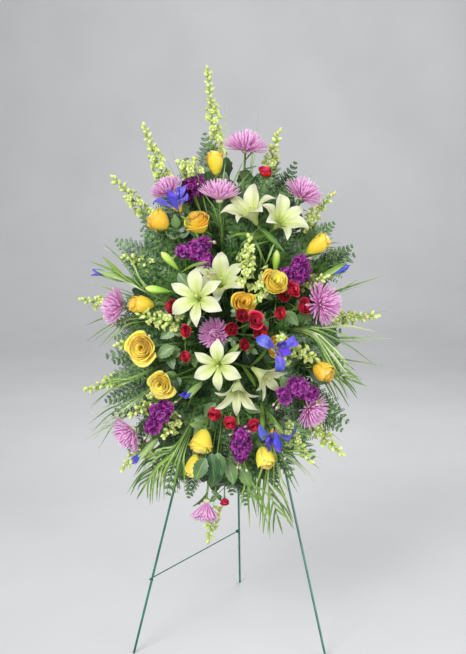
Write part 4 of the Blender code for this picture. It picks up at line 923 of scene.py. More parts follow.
for number, heads in enumerate(RED_SPRAYS, 1):
    node = f"red_rose_spray_{number}"
    draw = random.Random(200 + number)
    petals, greens, blades, fork = [], [], [], None
    for k, head in enumerate(heads):
        base, turn, look, route, fork = stand(node, head, "spray_rose", f"{node}_{k}", fork)
        greens.append(stem(route, KINDS["spray_rose"][1] * (BRANCH_SLIM if k else 1), draw, 6))
        wide, tall = np.array((SPRAY_WIDE, SPRAY_TALL)) * SMALL_BLOOMS.get(f"{number}_{k}", 1)
        head_parts = rose(wide * 1.12, tall, SPRAY_PETALS, SPRAY_GRID, draw.uniform(0.15, 0.5), draw)
        petals += placed(head_parts, turn, base)
        greens += placed(calyx(wide, draw, 1.1, 0.3), turn, base)
        stalks, more = leaf_spray(base - look * 0.028, stray(draw, 1, 0.2), (0, 0, 1), 0.026, draw, 3)
        greens += stalks
        blades += more
        heads_placed.append((base + look * 0.012, 0.020))
    make_piece(node + "_blooms", [(CRIMSON, petals), (STEM_GREEN, greens), (ROSE_LEAF, blades)],
               [node])
print("red sprays", len(RED_SPRAYS))

# %% [markdown]
# ## Lilies
#
# A lily has six petals in two rings, three broad and three narrow. They run up together from a narrow green
# throat, spread wide and roll back at their tips, with a groove along each rib and gently waved edges.

# %% Lily bloom and bud
LILY_HALVES = (0.20, 0.27, 0.58, 0.94, 0.98, 0.60, 0.03)
LILY_FORMS = {  # half widths of the narrow and the broad petals, then the radius and height of each station
    "open": (0.0150, 0.0215, [(0.0045, 0.004), (0.0085, 0.018), (0.021, 0.037), (0.036, 0.048),
                              (0.051, 0.052), (0.066, 0.048), (0.081, 0.036)]),
    "cup": (0.0165, 0.0225, [(0.0045, 0.004), (0.0085, 0.020), (0.018, 0.042), (0.030, 0.060),
                             (0.044, 0.073), (0.060, 0.079), (0.077, 0.073)]),
    "bell": (0.0105, 0.0140, [(0.0045, 0.004), (0.0080, 0.020), (0.013, 0.038), (0.020, 0.055),
                              (0.031, 0.070), (0.045, 0.080), (0.060, 0.084)]),
}


def lily(draw, form):
    """Six petals in two rings, through the form's stations, the narrow ring a little lower."""
    narrow, broad, line = LILY_FORMS[form]
    parts = []
    for k in range(6):
        half, drop = (broad, 0.0) if k % 2 else (narrow, -0.003)
        lift = draw.uniform(-0.005, 0.005)
        stations = [
            (radius, height + (drop if height > 0.03 else 0) + lift * (radius / 0.05) ** 2, half * share)
            for (radius, height), share in zip(line, LILY_HALVES)]
        angle = (k + 0.5) * math.tau / 6 + draw.uniform(-0.07, 0.07)
        parts.append(petal(angle, stations, cup=0.22, rows=17, cols=9, thick=0.0011, ruffle=0.16, waves=2.2,
                           groove=0.13, tone=draw.random()))
    return parts


def lily_heart(draw):
    """A long style with a swollen tip, and six bare filaments round it."""
    style = curve([(0, 0, 0.006), (0.001, 0, 0.030), (0.004, 0.001, 0.058)], 8)
    parts = [tube(style, np.linspace(0.0014, 0.0010, 8), 6),
             tube([style[-1] - (0, 0, 0.001), style[-1] + (0, 0, 0.002)], 0.0026, 6)]
    for k in range(6):
        angle = (k + 0.5) * math.tau / 6 + draw.uniform(-0.15, 0.15)
        way = np.array((math.cos(angle), math.sin(angle), 0.0))
        line = [way * out + (0, 0, height)
                for out, height in ((0.002, 0.008), (0.006, 0.030), (0.017, 0.050))]
        parts.append(tube(curve(line, 6), np.linspace(0.0010, 0.0006, 6), 5))
    return parts


def lily_bud(draw, length=0.060):
    """A long bud, widest past its middle, with three shallow seams from end to end."""
    bud = tube(curve(upright(-0.004, 0.012, 0.034, 0.050, length), 14),
               curve([[0.0022], [0.0062], [0.0098], [0.0082], [0.0012]], 14)[:, 0], 12, draw.random(), 0.4)
    angle = np.arctan2(bud.points[:, 1], bud.points[:, 0])
    seam = 1 - 0.10 * (0.5 + 0.5 * np.cos(3 * angle)) ** 3
    bud.points[:, :2] *= seam[:, None]
    return bud


LILY_BUD = petal_finish("lily_bud_skin", [(0.0, 120, 170, 50), (0.5, 176, 212, 84),
                                          (1.0, 212, 226, 130)], vein=0.15, tones=0.12, hues=0.01)
LILY_HEART = petal_finish("lily_heart", [(0.0, 178, 200, 88), (1.0, 214, 224, 150)], vein=0.05)

BLOOM_FORMS = [  # each bloom's form and its size against the full one
    [("open", 0.90), ("cup", 0.92)], [("cup", 0.90), ("cup", 0.86)],
    [("open", 0.80), ("bell", 1.0), ("bell", 0.9)],
]

for number, (blooms, buds) in enumerate(LILY_STEMS, 1):
    node = f"lily_stem_{number}"
    draw = random.Random(300 + number)
    petals, hearts, bud_skins, greens, blades, fork = [], [], [], [], [], None
    for k, head in enumerate(blooms + buds):
        base, turn, look, route, fork = stand(node, head, "lily", f"{node}_{k}", fork)
        greens.append(stem(route, KINDS["lily"][1] * (BRANCH_SLIM if k else 1), draw, 8))
        if k < len(blooms):
            form, size = BLOOM_FORMS[number - 1][k]
            petals += placed(lily(draw, form), turn * size, base)
            hearts += placed(lily_heart(draw), turn, base)
            heads_placed.append((base + look * 0.045, 0.055))
        else:
            bud_skins.append(moved(lily_bud(draw), turn, base))
            heads_placed.append((base + look * 0.03, 0.02))
        for at in (-2, -4):
            way = unit(stray(draw, 1, 0.25) + look * 0.3)
            line = bezier(route[at], route[at] + way * 0.045, route[at] + way * 0.085 - look * 0.02, 7)
            blades.append(strap(line, look, sine_halves(0.007, 0.12, 0.98, 8), 0.3, tone=draw.random()))
    make_piece(node + "_blooms", [(LILY_WHITE, petals), (LILY_HEART, hearts), (LILY_BUD, bud_skins),
                                  (STEM_GREEN, greens), (PALM_GREEN, blades)], [node])
print("lily stems", len(LILY_STEMS))

# %% [markdown]
# ## Spider chrysanthemums
#
# A hundred and more quilled florets stand round a small middle. The inner ones are shorter and curl in,
# the outer ones spread out and turn up their tips. Three florets are modelled for each head and laid down
# many times, each turned to its own direction.

# %% Chrysanthemum
MUM_FLORETS = 130
MUM_REACH = 0.058
MUM_FORMS = [  # reach against MUM_REACH, how far the outermost florets lean in degrees, and the hook
    (1.05, 82, 0.10), (0.88, 66, 0.08), (1.06, 66, 0.08), (0.96, 78, 0.08), (1.00, 64, 0.08),
    (1.02, 96, 0.12), (0.76, 92, 0.36), (1.00, 64, 0.06), (0.86, 84, 0.12), (0.96, 42, 0.05),
]


def floret_shape(bend, hook, rows=8):
    """A channelled strap of length 1 along +X: it rises by bend times the square of the place along, and
    hooks up near its tip by hook times the fifth power."""
    s = np.linspace(0, 1, rows)
    line = np.stack((s - 0.25 * abs(hook) * s ** 5, np.zeros(rows), bend * s ** 2 + hook * s ** 5), -1)
    halves = 0.050 * (0.45 + 0.60 * s ** 0.8) * np.clip((1.04 - s) / 0.16, 0.25, 1.0)
    return strap(line, (0, 0, 1.0), halves, 0.55, 0.020)


def spider_mum(draw, reach, widest, hook):
    """Florets on a golden-angle spiral from the axis out to the widest lean, the outer ones longest."""
    shapes = [floret_shape(0.16, hook), floret_shape(0.06, hook), floret_shape(-0.05, hook)]
    parts = []
    for ring, shape in enumerate(shapes):
        turns, shifts, tones = [], [], []
        for k in range(MUM_FLORETS):
            share = math.sqrt((k + 0.5) / MUM_FLORETS)
            if min(2, int(share * 3)) != ring:
                continue
            lean = math.radians(3 + (widest - 3) * share + draw.uniform(-5, 5))
            angle = k * GOLDEN_ANGLE + draw.uniform(-0.1, 0.1)
            way = direction(lean, angle)
            inward = unit(np.array((0, 0, 1.0)) - way * way[2])
            length = MUM_REACH * reach * (0.74 + 0.20 * share + draw.uniform(-0.05, 0.05))
            turns.append(np.stack((way, np.cross(inward, way), inward), 1) * length)
            shifts.append(way * 0.005 + (0, 0, 0.004))
            tones.append(draw.random())
        parts.append(copies(shape, turns, shifts, tones))
    return parts


MUM_HEART = petal_finish("spider_mum_base", [(0.0, 120, 150, 70), (1.0, 206, 214, 170)], vein=0.2)

for number, (head, form) in enumerate(zip(SPIDER_MUMS, MUM_FORMS), 1):
    node = f"spider_mum_{number:02d}"
    draw = random.Random(400 + number)
    base, turn, look, route, _ = stand(node, head, "spider_mum")
    cup = tube(upright(-0.003, 0.001, 0.006), (0.004, 0.009, 0.010), 10)
    blades = [oval_leaf(route[at], stray(draw, 1, 0.2) + look * 0.4, look, 0.05, draw, share=0.28, saw=0.30)
              for at in (7, 8, 9)]
    make_piece(node + "_bloom", [(MUM_PINK, placed(spider_mum(draw, *form), turn, base)),
                                 (MUM_HEART, [moved(cup, turn, base)]),
                                 (STEM_GREEN, [stem(route, KINDS["spider_mum"][1], draw)]),
                                 (ROSE_LEAF, blades)], [node])
    heads_placed.append((base + look * 0.02, 0.05))
print("spider chrysanthemums", len(SPIDER_MUMS), "florets each", MUM_FLORETS)

# %% [markdown]
# ## Irises
#
# An open iris has three falls that arch out and down with a yellow blotch, three upright standards, and
# three small style arms over the falls. A bud is furled, with one petal standing away, in a pale green
# sheath.

# %% Iris bloom and bud
FALL = [(0.0045, 0.014, 0.004), (0.014, 0.026, 0.006), (0.034, 0.038, 0.0135), (0.049, 0.029, 0.0125),
        (0.056, 0.012, 0.001)]
STYLE_ARM = [(0.0045, 0.018, 0.003), (0.014, 0.033, 0.005), (0.028, 0.046, 0.006), (0.034, 0.054, 0.002)]
STANDARD = [(0.0045, 0.020, 0.004), (0.010, 0.034, 0.008), (0.016, 0.056, 0.011), (0.021, 0.071, 0.001)]
RAISED_FALLS = {"iris_01": (0.030,)}  # the first iris has only just opened: its falls still stand up


def iris(draw, rise=0.0):
    """Falls, style arms and standards, each through its stations. The falls are raised by rise at a radius
    of 5 cm, and elsewhere as the radius squared."""
    falls, standards = [], []
    stations = [(radius, height + rise * (radius / 0.05) ** 2, half) for radius, height, half in FALL]
    for k in range(3):
        angle = (2 * k + 1.5) * math.tau / 6 + draw.uniform(-0.12, 0.12)
        falls.append(petal(angle, stations, cup=0.15, rows=12, cols=7, thick=0.0009, ruffle=0.22, waves=2.0,
                           groove=0.1, tone=draw.random()))
        falls.append(petal(angle, STYLE_ARM, cup=-0.3, rows=8, cols=5, thick=0.0008, tone=draw.random()))
        standards.append(petal(angle + math.tau / 6, STANDARD, cup=0.35, rows=12, cols=7, thick=0.0008,
                               ruffle=0.25, waves=2.4, groove=0.05, tone=draw.random()))
    return falls, standards


def iris_bud(draw):
    """A furled bud that turns as it tapers, and two sheath leaves that wrap its lower half."""
    furled = tube(curve(upright(-0.012, 0.014, 0.034, 0.048, 0.058), 14),
                  curve([[0.004], [0.0062], [0.0068], [0.0050], [0.0010]], 14)[:, 0], 12, draw.random(), 0.4)
    angle = np.arctan2(furled.points[:, 1], furled.points[:, 0])
    furled.points[:, :2] *= (1 + 0.16 * np.sin(3 * angle + 90 * furled.points[:, 2]))[:, None]
    loose = petal(draw.uniform(0, 6), [(0.005, 0.016, 0.004), (0.009, 0.036, 0.007), (0.013, 0.046, 0.006),
                                       (0.018, 0.055, 0.001)], cup=0.5, rows=10, cols=5, thick=0.0008,
                  ruffle=0.2, tone=draw.random())
    sheath = [petal(turn, [(0.0032, -0.034, 0.004), (0.0068, -0.012, 0.0085), (0.0084, 0.014, 0.0085),
                           (0.0090, 0.044 + 0.008 * draw.random(), 0.001)], cup=0.75, rows=10, cols=7,
                    thick=0.0009, tone=draw.random()) for turn in (draw.uniform(0, 3), draw.uniform(3.4, 6))]
    return [furled, loose], sheath


IRIS_KINDS = [  # the node's name, its heads, their shape, where their seeds start, and the shape's finishes
    ("iris", IRISES, iris, 500, (IRIS_BLUE, IRIS_STANDARD)),
    ("iris_bud", IRIS_BUDS, iris_bud, 550, (IRIS_STANDARD, SHEATH)),
]
for kind, heads, shape, seed, finishes in IRIS_KINDS:
    for number, head in enumerate(heads, 1):
        node = f"{kind}_{number:02d}"
        draw = random.Random(seed + number)
        base, turn, look, route, _ = stand(node, head, kind)
        forms = [placed(parts, turn, base) for parts in shape(draw, *RAISED_FALLS.get(node, ()))]
        blades = []
        for at in (2, 3) if node in RAISED_FALLS else (6, 8):
            way = unit(look + stray(draw, 0.5, 0))
            line = bezier(route[at], route[at] + way * 0.05, route[at] + way * 0.09, 7)
            blades.append(strap(line, np.cross(look, (1, 1, 0.3)), sine_halves(0.006, 0.2, 0.98, 8), 0.3,
                                tone=draw.random()))
        stalk = stem(route, KINDS[kind][1], draw)
        layers = [*zip(finishes, forms), (STEM_GREEN, [stalk]), (PALM_GREEN, blades)]
        make_piece(node + "_bloom", layers, [node])
        heads_placed.append((base + look * 0.03, 0.035))
print("irises", len(IRISES), "buds", len(IRIS_BUDS))

# %% [markdown]
# ## Stock
#
# A head of stock is a short spike of double florets, each a rosette of ruffled petals, and smaller clusters
# stand on side stalks round it, with pale buds hanging out. One rosette is modelled and laid on a spiral
# round each cluster's middle.

# %% Stock head
STOCK_CLUSTERS = [  # each head's side clusters, in centimetres right and up from its middle
    [(-3.4, 0.2), (1.6, 2.2), (2.0, -2.0)], [(-1.6, -1.8), (1.2, 1.8)], [(0.8, 2.6), (-2.6, -0.4)],
    [(-1.8, -3.0), (1.2, 1.4)], [(-2.8, -1.8), (3.4, -1.6)], [(0.2, 2.2), (0.0, -2.6)],
]


def stock_floret(draw, size=0.0150):
    """A rosette: five flat petals and three smaller ones that stand up inside them, all strongly waved."""
    parts = []
    for k in range(8):
        inner = k >= 5
        reach = size * (0.60 if inner else 1.0)
        rise = 0.007 if inner else 0.001
        stations = [(0.001, 0.0, 0.1 * size), (0.5 * reach, 0.003 + rise * 0.6, 0.46 * reach),
                    (reach, 0.0030 + rise, 0.34 * reach)]
        parts.append(petal(k * GOLDEN_ANGLE, stations, cup=0.25, rows=5, cols=5, thick=0.0008, ruffle=0.60,
                           waves=1.3, tone=draw.random()))
    return gathered(parts)


def stock_cluster(rosette, draw, count, wide, tall):
    """Rosettes on a golden-angle spiral over an egg, with some room between them."""
    turns, shifts, tones = [], [], []
    for k in range(count):
        share = (k + 0.5) / count
        way = direction(math.radians(112 - 100 * share ** 1.2), k * GOLDEN_ANGLE)
        shifts.append(way * (wide, wide, tall) * draw.uniform(0.72, 1.08))
        tilted = way + np.array([draw.uniform(-0.35, 0.35) for _ in range(3)])
        turns.append(turn_to(tilted, draw.uniform(0, 6)) * draw.uniform(0.75, 1.10))
        tones.append(draw.random())
    return copies(rosette, turns, shifts, tones)


def hanging_bud(foot, way, length, draw):
    """A thin stalk that bends down and holds a small pointed bud."""
    end = foot + way * length + np.array((0, -0.25, -0.1)) * length
    stalk = bezier(foot, foot + way * length * 0.6, end, 4)
    run = unit(stalk[-1] - stalk[-2])
    bud = tube([end, end + run * 0.004, end + run * 0.009], (0.0014, 0.0032, 0.0016), 6, draw.random())
    return tube(stalk, 0.0009, 4, draw.random()), bud


STOCK_BUD = petal_finish("stock_bud", [(0.0, 176, 196, 130), (0.6, 216, 190, 190),
                                       (1.0, 190, 110, 172)], vein=0.1, tones=0.3)

for number, (head, clusters) in enumerate(zip(STOCKS, STOCK_CLUSTERS), 1):
    node = f"stock_{number:02d}"
    draw = random.Random(600 + number)
    base, turn, look, route, _ = stand(node, head, "stock")
    rosette = stock_floret(draw)
    large = stock_cluster(rosette, draw, count=15, wide=0.018, tall=0.026)
    petals = [moved(large, turn, base + look * 0.020)]
    stalks = [moved(tube(upright(-0.01, 0.02, 0.035), (0.003, 0.003, 0.002), 6), turn, base),
              stem(route, KINDS["stock"][1], draw)]
    buds = []
    for right, up in clusters:
        middle = base + look * 0.018 + np.array((right, up, 0)) * CM
        small = stock_cluster(rosette, draw, count=8, wide=0.011, tall=0.013)
        petals.append(moved(small, turn_to(look + (right / 8, up / 8, 0)), middle))
        stalks.append(tube(bezier(base - look * 0.010, base + look * 0.002, middle, 4), 0.0014, 5))
        for _ in range(3):
            way = unit(np.array((right, up - 1.5, 0.5)) + [draw.uniform(-1.5, 1.5) for _ in range(3)])
            stalk, bud = hanging_bud(middle + way * 0.008, way, draw.uniform(0.014, 0.026), draw)
            stalks.append(stalk)
            buds.append(bud)
    layers = [(STOCK_PURPLE, petals), (STOCK_BUD, buds), (PALE_STEM, stalks)]
    make_piece(node + "_bloom", layers, [node])
    heads_placed.append((base + look * 0.020, 0.040))
print("stock heads", len(STOCKS))

# %% [markdown]
# ## Leaves' routes
#
# Leaves and spikes start from thin rails between the two slabs of foam, leave the foam straight and bend
# over to their tips. Their ways are found again from the frame as the flower stems' were.

# %% Leaf routes
RAIL_REACH, RAIL_PART, LAYER_STEP, GRASS_LAYER = 0.085, 0.010, 0.004, 0.0188
FERN_LAYER = GRASS_LAYER + LAYER_STEP
PALM_LAYER = FERN_LAYER + LAYER_STEP
SPIKE_LAYER = PALM_LAYER + LAYER_STEP + 0.0002
LEAF_STRAIGHT, LEAF_BEND, LEAF_ARCH = 0.006, 0.55, 0.02
LEAF_TRIES = [(bow, side) for side in (0, 0.03, -0.03, 0.06, -0.06, 0.09, -0.09, 0.12, -0.12)
              for bow in (0, 0.03, -0.03, 0.06, -0.05)]
SPIKES_ABOVE = [
    (-8, 71, 5, 24), (-24, 54, 11, 16), (-32, 40, 12, 14), (-12.5, 40.5, 21, 8), (12, 50.5, 19, 12),
    (26, 34.5, 18, 12), (-40, 7.5, 11, 9), (4.5, 19.5, 26, 8), (24.5, 12.5, 24, 9), (-28, 17.5, 20, 8),
    (38, 3.5, 14, 14),
]
SPIKES_BELOW = [
    (-38.5, -16.5, 11, 14), (-29, -5, 20, 9), (-28, -37, 13, 10), (16, -6.5, 27, 6), (21, -34, 18, 13),
    (29, -32, 15, 11), (-25, -23, 20, 8), (-16, -28, 23, 8), (-5, -55, 12, 9),
]
FERNS = [
    (-24, 30, 13, 20), (-30, -9, 13, 18), (-8, 52, 8, 22), (16, 44, 9, 20), (31, 22, 9, 18),
    (28, -20, 10, 18), (-20, -36, 10, 18), (12, -40, 11, 18),
]
PALMS = [(-26, -47, 7, 24), (14, -53, 9, 26), (34, -14, 12, 22)]
GRASSES = [
    (-39, 18, 10), (-38, 12, 12), (-34, 21, 9), (-37, -18, 10), (-38, -23, 9), (-38, -29, 8), (39, 14, 12),
    (40, 5, 11), (41, -2, 10), (39, -9, 10), (22, -38, 12), (28, -28, 12), (-3, 60, 5), (6, 57, 6),
    (-17, 48, 7), (21, 42, 8),
]


leaf_misfits = {}


def leaf_way(foot, tip, bow, side):
    """The points that shape one try's line: where it has come straight out of the foam, and the middle
    point of its parabola to the tip."""
    flat = unit((tip[0] - foot[0], tip[1] - foot[1], 0.0))
    flat = unit(flat + np.array((-flat[1], flat[0], 0.0)) * side * 3)
    leave, way = foam_exit(foot, foot + flat)
    outside = leave + way * LEAF_STRAIGHT
    middle = outside * (1 - LEAF_BEND) + tip * LEAF_BEND + np.array((-flat[1], flat[0], 0.0)) * side
    middle[2] = (outside[2] + tip[2]) / 2 + LEAF_ARCH + bow
    return outside, middle


def leaf_routes(node, leaves, depth, low, high, samples, steps=16):
    """Every leaf of a node with its line: the try whose sample points lie closest to the node's own points,
    by the sum of their third least distances."""
    points = on_face(node)
    routes = []
    leaves = sorted(leaves, key=lambda leaf: leaf[1])
    for rank, leaf in enumerate(leaves):
        foot = np.array((0.0, low + (high - low) * (rank + 0.5) / len(leaves), depth))
        tip = np.array(leaf[:3], float) * CM
        tries = [leaf_way(foot, tip, *way) for way in LEAF_TRIES]
        off = []
        for outside, middle in tries:
            gaps = np.linalg.norm(bezier(outside, middle, tip, samples)[:-1, None] - points, axis=-1)
            off.append(np.partition(gaps, 2, axis=-1)[:, 2].sum())
        k = int(np.argmin(off))
        leaf_misfits[f"{node}_{rank}"] = round(1000 * off[k] / samples, 1)
        outside, middle = tries[k]
        routes.append((np.vstack((foot, bezier(outside, middle, tip, steps))), leaf))
    return routes


def along_route(route, share):
    """Points at shares of a route's length, their runs, sides and upper faces, which look forward, and the
    length."""
    steps = np.linalg.norm(np.diff(route, axis=0), axis=1)
    at = np.concatenate(([0.0], np.cumsum(steps)))
    total = at[-1]

    def points(where):
        return np.stack([np.interp(where, at, route[:, k]) for k in range(3)], -1)

    where = np.asarray(share) * total
    run = unit(points(np.minimum(where + 0.01, total)) - points(np.minimum(where + 0.01, total) - 0.02))
    side = unit(np.cross((0.0, 0.0, 1.0), run))
    return points(where), run, side, np.cross(run, side), total


# %% [markdown]
# ## Lime snapdragon spikes
#
# The spikes are slim stems with small pale florets, each a pouch with two upper and three lower lobes. They
# stand round the stem, large and open below, then smaller, then round buds at the tip. Twenty are the
# frame's. Five more lie over the dome between the flowers, each on a line from its first floret to its tip.

# %% Spikes
def lime_floret(draw, lobes=5):
    """A pouch with lobes round its mouth, about 1 long along +Z."""
    parts = [tube(upright(0.0, 0.35, 0.7), (0.08, 0.26, 0.20), 6)]
    for k in range(lobes):
        stations = [(0.14, 0.50, 0.12), (0.34, 0.86, 0.27), (0.62 if k < 2 else 0.48, 0.98, 0.10)]
        parts.append(petal(k * math.tau / lobes, stations, cup=0.2, rows=4, cols=3, thick=0.05,
                           tone=draw.random()))
    return gathered(parts)


TIP_BUD, FLORET_STEP, CLOSED_SHARE = 0.018, 0.0058, 0.12
FLORET_SIZE, BUD_SIZE = (0.0215, 0.0050), (0.0165, 0.0025)  # at the lowest one, and how much less at the tip


def spike(route, flowered, draw, floret, bud, opened=0.55):
    """Florets on a golden-angle spiral over the flowered length, then buds; the last one ends at the tip."""
    total = along_route(route, [0])[4]
    count = max(9, round(flowered / FLORET_STEP))
    share = 1 - TIP_BUD / total - flowered / total * (1 - (np.arange(count) + 1) / count)
    points, run, side, face, _ = along_route(route, share)
    turns, shifts, tones = ([], []), ([], []), ([], [])
    for k in range(count):
        angle = k * GOLDEN_ANGLE + draw.uniform(-0.3, 0.3)
        grown = k / count
        out = side[k] * math.cos(angle) + face[k] * math.sin(angle)
        way = unit(out + run[k] * (0.35 + 0.5 * grown + (1.5 if k > count - 3 else 0)))
        is_bud = int(grown > opened or draw.random() < CLOSED_SHARE)
        largest, less = BUD_SIZE if is_bud else FLORET_SIZE
        size = (largest - less * grown) * draw.uniform(0.85, 1.15)
        turns[is_bud].append(turn_to(way, draw.uniform(0, 6)) * size)
        shifts[is_bud].append(points[k] + way * 0.0016)
        tones[is_bud].append(draw.random())
    blooms, closed = ([copies(shape, turns[k], shifts[k], tones[k])] if turns[k] else []
                      for k, shape in enumerate((floret, bud)))
    radii = np.interp(np.arange(len(route)), (0, len(route) * 0.5, len(route)), (0.0017, 0.0017, 0.0008))
    stalk = along_route(route, np.linspace(0, 1 - TIP_BUD / total, len(route)))[0]
    return blooms, closed, tube(stalk, radii, 6, draw.random(), 0.3)


spike_kinds = [("snapdragons_above", SPIKES_ABOVE, RAIL_PART, RAIL_REACH),
               ("snapdragons_below", SPIKES_BELOW, -RAIL_REACH, -RAIL_PART)]
draw = random.Random(700)
floret = lime_floret(draw)
bud = tube(upright(0.0, 0.3, 0.7, 1.0), (0.10, 0.32, 0.34, 0.12), 6)
for node, spikes, low, high in spike_kinds:
    blooms, closed, stalks = [], [], []
    for route, leaf in leaf_routes(node, spikes, SPIKE_LAYER, low, high, 4):
        more_blooms, more_closed, stalk = spike(route, leaf[3] * CM, draw, floret, bud)
        blooms += more_blooms
        closed += more_closed
        stalks.append(stalk)
    make_piece(node + "_spikes", [(LIME_FLORET, blooms + closed), (PALE_STEM, stalks)], [node])

SPIKES_BETWEEN = [  # the first floret's and the tip's place, right and up, and the flowered length
    ((4.2, 10.2), (5.2, 22.6), 13.0), ((9.8, 12.4), (6.2, 4.0), 9.5), ((12.5, -4.4), (23.0, -8.6), 12.0),
    ((-13.0, 0.4), (-23.6, 2.8), 12.0), ((-8.2, 37.0), (-14.2, 41.6), 7.5),
]
parts, stalks = [], []
for low, high, flowered in SPIKES_BETWEEN:
    places = [(0.3 * low[0], 0.3 * low[1], 6.0)] + [
        (low[0] + (high[0] - low[0]) * t, low[1] + (high[1] - low[1]) * t, 0.0) for t in (0, 0.5, 1)]
    line = [np.array((x, y, z or 100 * dome(x * CM, y * CM) - 1 + rise)) * CM
            for (x, y, z), rise in zip(places, (0, 0, 1.6, 1.2))]
    blooms, closed, stalk = spike(curve(line, 16), flowered * CM, draw, floret, bud, 0.7)
    parts += blooms + closed
    stalks.append(stalk)
make_piece("snapdragons_between", [(LIME_FLORET, parts), (PALE_STEM, stalks)])
print("spikes", len(SPIKES_ABOVE) + len(SPIKES_BELOW), "worst misfit", max(leaf_misfits.values()), "mm")

# %% [markdown]
# ## Leatherleaf fern
#
# The dark green ground of the spray. A frond is cut twice: a rib carries pairs of side ribs, and those
# carry small leaflets. There are thousands of leaflets, so each is only a flat diamond of eight faces,
# placed by arrays over ribs, sides and places at once.

# %% Fern fronds
LEAFLET = Part(
    np.array([(0, 0, 0), (0.42, -0.5, 0), (0.5, 0, 0.5), (0.42, 0.5, 0), (0.5, 0, -0.5), (1, 0, 0)]),
    NO_QUADS,
    np.array([(1, 2, 0), (2, 3, 0), (3, 4, 0), (4, 1, 0), (2, 1, 5), (3, 2, 5), (4, 3, 5), (1, 4, 5)]),
    np.array([(0, 0.5, 0, 0.5), (0.4, 0, 0, 0.5), (0.5, 0.5, 0, 0), (0.4, 1, 0, 0.5), (0.5, 0.5, 0, 1),
              (1, 0.5, 0, 0.5)]))


def fern(route, length, draw, pairs, leaflets, broad):
    """Side ribs leave the rib at about 60 degrees at the frond's foot and 50 at its tip, and are shorter
    towards the tip. Leaflets leave them in pairs and are smaller towards their ends."""
    total = along_route(route, [0])[4]
    share = 1 - length / total * (1 - (np.arange(pairs) + 0.5) / pairs)
    points, run, side, face, _ = along_route(route, share)
    grown = ((np.arange(pairs) + 0.5) / pairs)[:, None, None]
    hand = np.array((-1.0, 1.0))[None, :, None]
    lean = 0.55 + 0.35 * grown
    way = unit(run[:, None] * lean + side[:, None] * hand)
    reach = length * broad * (1 - grown) ** 0.75 * np.minimum(1.0, 0.7 + 3 * grown)
    reach = reach * np.array([[draw.uniform(0.85, 1.1) for _ in range(2)] for _ in range(pairs)])[..., None]
    droop = -0.18 * reach
    place = ((np.arange(leaflets) + 0.6) / leaflets)[None, None, :, None]
    foot = points[:, None, None] + way[:, :, None] * (reach[..., None] * place) \
        + face[:, None, None] * (droop[..., None] * place ** 2)
    along_side = unit(way[:, :, None] + face[:, None, None] * (2 * droop / reach)[..., None] * place)
    over = np.cross(face[:, None, None], along_side)
    size = (0.27 * reach[..., None] * (1.15 - place) + 0.0026)
    shape = foot.shape
    turns, shifts = [], []
    for swing in (-1, 1):
        out = unit(along_side * 0.8 + over * swing)
        up = unit(np.broadcast_to(face[:, None, None], shape))
        up = unit(up - out * (up * out).sum(-1, keepdims=True))
        sideways = np.cross(up, out) * size * 0.58
        turns.append(np.stack((out * size, sideways, up * 0.0009), -1).reshape(-1, 3, 3))
        shifts.append(foot.reshape(-1, 3))
    turns, shifts = np.concatenate(turns), np.concatenate(shifts)
    tones = [draw.random() for _ in range(len(shifts))]
    ribs = [tube(route, np.linspace(0.0015, 0.0005, len(route)), 5, draw.random(), 0.3)]
    side_rib = tube([(0, 0, 0), (0.5, 0, 0), (1, 0, 0)], np.array((0.010, 0.008, 0.004)), 4)
    ends = (way * reach).reshape(-1, 3)
    up = np.repeat(face, 2, axis=0)
    turns_rib = np.stack((ends, np.cross(up, ends), up * np.linalg.norm(ends, axis=-1, keepdims=True)), -1)
    ribs.append(copies(side_rib, turns_rib, np.repeat(points, 2, axis=0), [draw.random() for _ in ends]))
    return [copies(LEAFLET, turns, shifts, tones)], ribs


def fern_piece(name, fronds, draw, pairs, leaflets, broad=0.42, nodes=()):
    """One piece of fern from its fronds, each a line and a length."""
    blades, ribs = [], []
    for route, length in fronds:
        more_blades, more_ribs = fern(route, length, draw, pairs, leaflets, broad)
        blades += more_blades
        ribs += more_ribs
    make_piece(name, [(FERN_GREEN, blades), (STEM_GREEN, ribs)], nodes)
    print(name, len(fronds), "fronds, triangles", made_triangles[name])


fern_piece("fern_fronds_long", [
    (route, leaf[3] * CM)
    for route, leaf in leaf_routes("fern_fronds", FERNS, FERN_LAYER, -RAIL_REACH, RAIL_REACH, 4)],
    random.Random(800), pairs=14, leaflets=9, broad=0.36, nodes=["fern_fronds"])

# %% [markdown]
# Between the flowers, shorter fronds hide the foam. Their tips are spread over the dome by the golden
# angle. Each tries a few places and takes the one that stands clearest of the flower heads.

# %% Fern filling
HEAD_PLACES = np.array([place for place, _ in heads_placed])
HEAD_SIZES = np.array([size for _, size in heads_placed])


def room_round(points):
    """The least distance from points to the flower heads' spheres."""
    return (np.linalg.norm(points[:, None] - HEAD_PLACES, axis=-1) - HEAD_SIZES).min()


def foot_in_foam(right, up, share, side, tall, depth):
    """Where a line to a place on the face starts: at a share of the way out to it, held inside the foam."""
    return np.array((np.clip(share * right, -side, side), np.clip(share * up, -tall, tall), depth))


def line_from_foam(right, up, height, rise=0.02):
    """A stem's line from the foam's front to a place on the face."""
    foot = foot_in_foam(right, up, share=0.35, side=0.045, tall=0.100, depth=0.060)
    tip = np.array((right, up, height))
    out, _ = foam_exit(foot, np.array((right, up, max(height, 0.13))))
    middle = out * 0.45 + tip * 0.55
    middle[2] = max(height, out[2]) + rise
    return np.vstack((foot, bezier(out, middle, tip, 12)))


